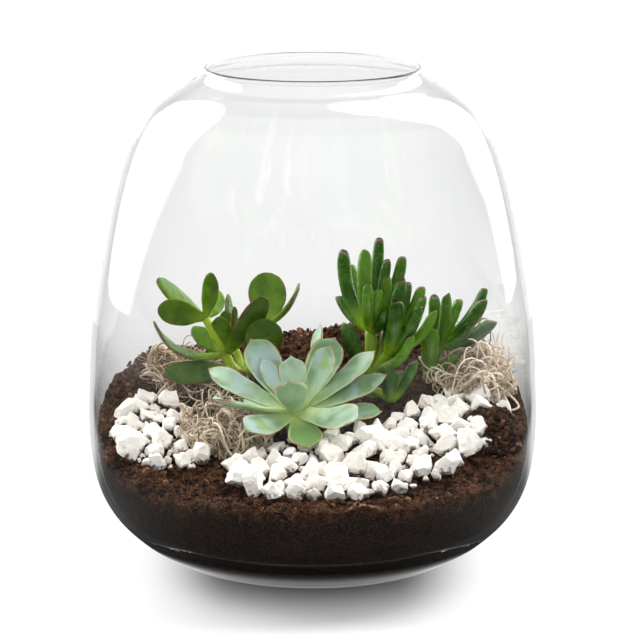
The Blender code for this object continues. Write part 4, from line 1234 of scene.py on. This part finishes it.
def pale_floor():
    """A wide pale floor. Away from the jar it shines by itself, so the jar's shadow stays narrow. It is
    dimmer where it shows through the glass (through) or mirrored in it (table)."""
    shape = bmesh.new()
    bmesh.ops.create_circle(shape, cap_ends=True, segments=96, radius=FLOOR_RADIUS)
    floor = placed("floor", mesh_of(shape, "floor"))
    floor.location.z = -0.05 * MM
    shader = Shader("pale_floor")
    away = shader.add("VectorMath", {0: shader.place}, operation="LENGTH").outputs["Value"]
    sides = shader.add("SeparateXYZ", {0: shader.place}).outputs
    across, depth = shader.math("ABSOLUTE", sides["X"]), sides["Y"]
    rays = shader.add("LightPath").outputs
    far = shader.greatest(shader.ease(away, 0.3, 0.55), shader.ease(across, 0.045, 0.108, 0, 0.9))
    # Bright behind the jar, dimmer beside it, dark in front and near the sides, grey all round far off
    ahead = shader.ease(depth, 0.08, 0.22, 0.05, 1.0)
    beside = shader.ease(across, 0.16, 0.4, 1.0, BESIDE)
    through = shader.times(shader.times(ahead, beside), shader.ease(away, 1.4, 1.8, 0.968, 0.865),
                           shader.ease(away, 0.25, 0.8, NEAR_DIM, 1.0))
    outer = shader.greatest(shader.ease(across, 0.32, 0.24), shader.ease(away, 0.68, 0.95, 0.1, 1.0),
                            shader.ease(depth, 0.3, 0.45))
    through = shader.greatest(shader.times(through, outer),
                              shader.ease(away, 0.5, 0.85, 0.0, ALL_ROUND))
    # A bright wedge behind, a faint sheen close beside the jar, grey beyond
    straight = shader.ease(shader.math("SUBTRACT", shader.times(depth, BACKDROP_SLOPE), across),
                           -BACKDROP_HALF - 0.03, -BACKDROP_HALF + 0.03)
    around = shader.times(shader.ease(away, 0.3, 0.24), shader.ease(across, 0.08, 0.16, 0, NEAR_SHEEN))
    beyond = shader.times(shader.ease(away, 0.7, 1.1, 0.04, 0.5), shader.ease(depth, -0.3, 0.1, 0.1, 1.0))
    table = shader.greatest(shader.times(straight, shader.times(ahead, 0.8)), around, beyond)
    # Under the jar the floor is seen in full and, to rays through or off the glass, also glows
    # (UNDER_GLOW): painted light for light gathered in the thick glass base.
    under = shader.ease(away, 0.095, 0.075)
    seen = shader.blend(rays["Is Glossy Ray"], 1.0, table)
    seen = shader.greatest(shader.blend(rays["Is Transmission Ray"], seen, through), under)
    bent = shader.greatest(rays["Is Glossy Ray"], rays["Is Transmission Ray"])
    grain = shader.ease(shader.noise(3), 0, 1, FLOOR_NEAR - 0.01, FLOOR_NEAR + 0.01)
    paper = shader.times(seen, grain, shader.math("SUBTRACT", 1.0, far))
    glow = shader.math("ADD", shader.times(seen, far, FLOOR_FAR), shader.times(bent, under, UNDER_GLOW))
    shader.set(Base_Color=shader.mix(paper, (0, 0, 0), (1, 1, 1)), Roughness=0.9, Specular_IOR_Level=0.0,
               Emission_Color=(1, 1, 1), Emission_Strength=glow)
    floor.data.materials.append(shader.material)


def soft_sky():
    """White to the camera, a soft light from above, and darker in front as the glass mirrors it."""
    world = bpy.data.worlds.new("studio")
    world.use_nodes = True
    bpy.context.scene.world = world
    sky = Nodes(world.node_tree)
    way = sky.add("SeparateXYZ", {0: sky.add("TexCoord").outputs["Generated"]}).outputs
    soft = sky.ease(way["Z"], 0.1, 0.8, SKY_LOW, SKY_HIGH)
    mirrored = sky.greatest(sky.ease(way["Y"], 0.1, 0.8, MIRRORED_FRONT, MIRRORED_BACK),
                            sky.ease(way["Z"], 0.3, 0.7, 0.0, MIRRORED_TOP))
    rays = sky.add("LightPath").outputs
    bent = sky.greatest(rays["Is Glossy Ray"], rays["Is Transmission Ray"])
    background = sky.tree.nodes["Background"].inputs
    sky.feed(background["Strength"], sky.blend(rays["Is Camera Ray"], sky.blend(bent, soft, mirrored), 1.0))
    sky.feed(background["Color"], (1, 1, 1))


def panels():
    """Two tall soft lamps, and the same two as the glass mirrors them."""
    for name, azimuth, away, width, height, bright in PANELS:
        light = bpy.data.lights.new(name, "AREA")
        light.shape = "RECTANGLE"
        light.size, light.size_y = width, height
        light.energy = bright * math.pi * width * height
        panel = placed(name, light)
        angle = math.radians(azimuth)
        panel.location = (away * math.sin(angle), -away * math.cos(angle), height / 2 + 10 * MM)
        panel.rotation_euler = (math.pi / 2, 0, angle)
        panel.visible_camera = panel.visible_glossy = panel.visible_transmission = False

    glow = Shader("panel_glow")
    glow.set(Base_Color=(0, 0, 0), Specular_IOR_Level=0.0, Emission_Color=(1, 1, 1),
             Emission_Strength=glow.ease(glow.noise(2), 0, 1, PANEL_MIRRORED * 0.97, PANEL_MIRRORED * 1.03))
    for name, outline in MIRRORED_PANELS:
        shape = bmesh.new()
        corners = []
        for azimuth, height in smooth_curve(outline + outline[:1], 2)[:-1]:
            around, up = math.radians(azimuth), math.radians(height)
            corner = Vector((math.cos(up) * math.sin(around), -math.cos(up) * math.cos(around),
                             math.sin(up)))
            corners.append(shape.verts.new(MIRRORED_AWAY * corner + Vector((0, 0, MIRRORED_LIFT))))
        bmesh.ops.triangulate(shape, faces=[shape.faces.new(corners)])
        mirrored_panel = placed(name, mesh_of(shape, name))
        mirrored_panel.data.materials.append(glow.material)
        mirrored_panel.visible_camera = mirrored_panel.visible_diffuse = False
        mirrored_panel.visible_shadow = False


SOIL_LOOK = peat_soil()
MARBLE_LOOK = white_marble()
MOSS_LOOK = dry_moss()

pale_floor()
soft_sky()
panels()
jar()
soil()
crumbs()
gravel("gravel_left", GRAVEL_LEFT, 4, 14)
gravel("gravel_front", GRAVEL_FRONT, 7, 17)
for clump in MOSS_CLUMPS:
    moss(*clump)
jade_plant()
rosette_plant()
finger_plants()

bpy.context.scene.view_settings.view_transform = "Standard"
cycles = bpy.context.scene.cycles
cycles.max_bounces = cycles.transmission_bounces = cycles.transparent_max_bounces = 24
cycles.glossy_bounces = 12
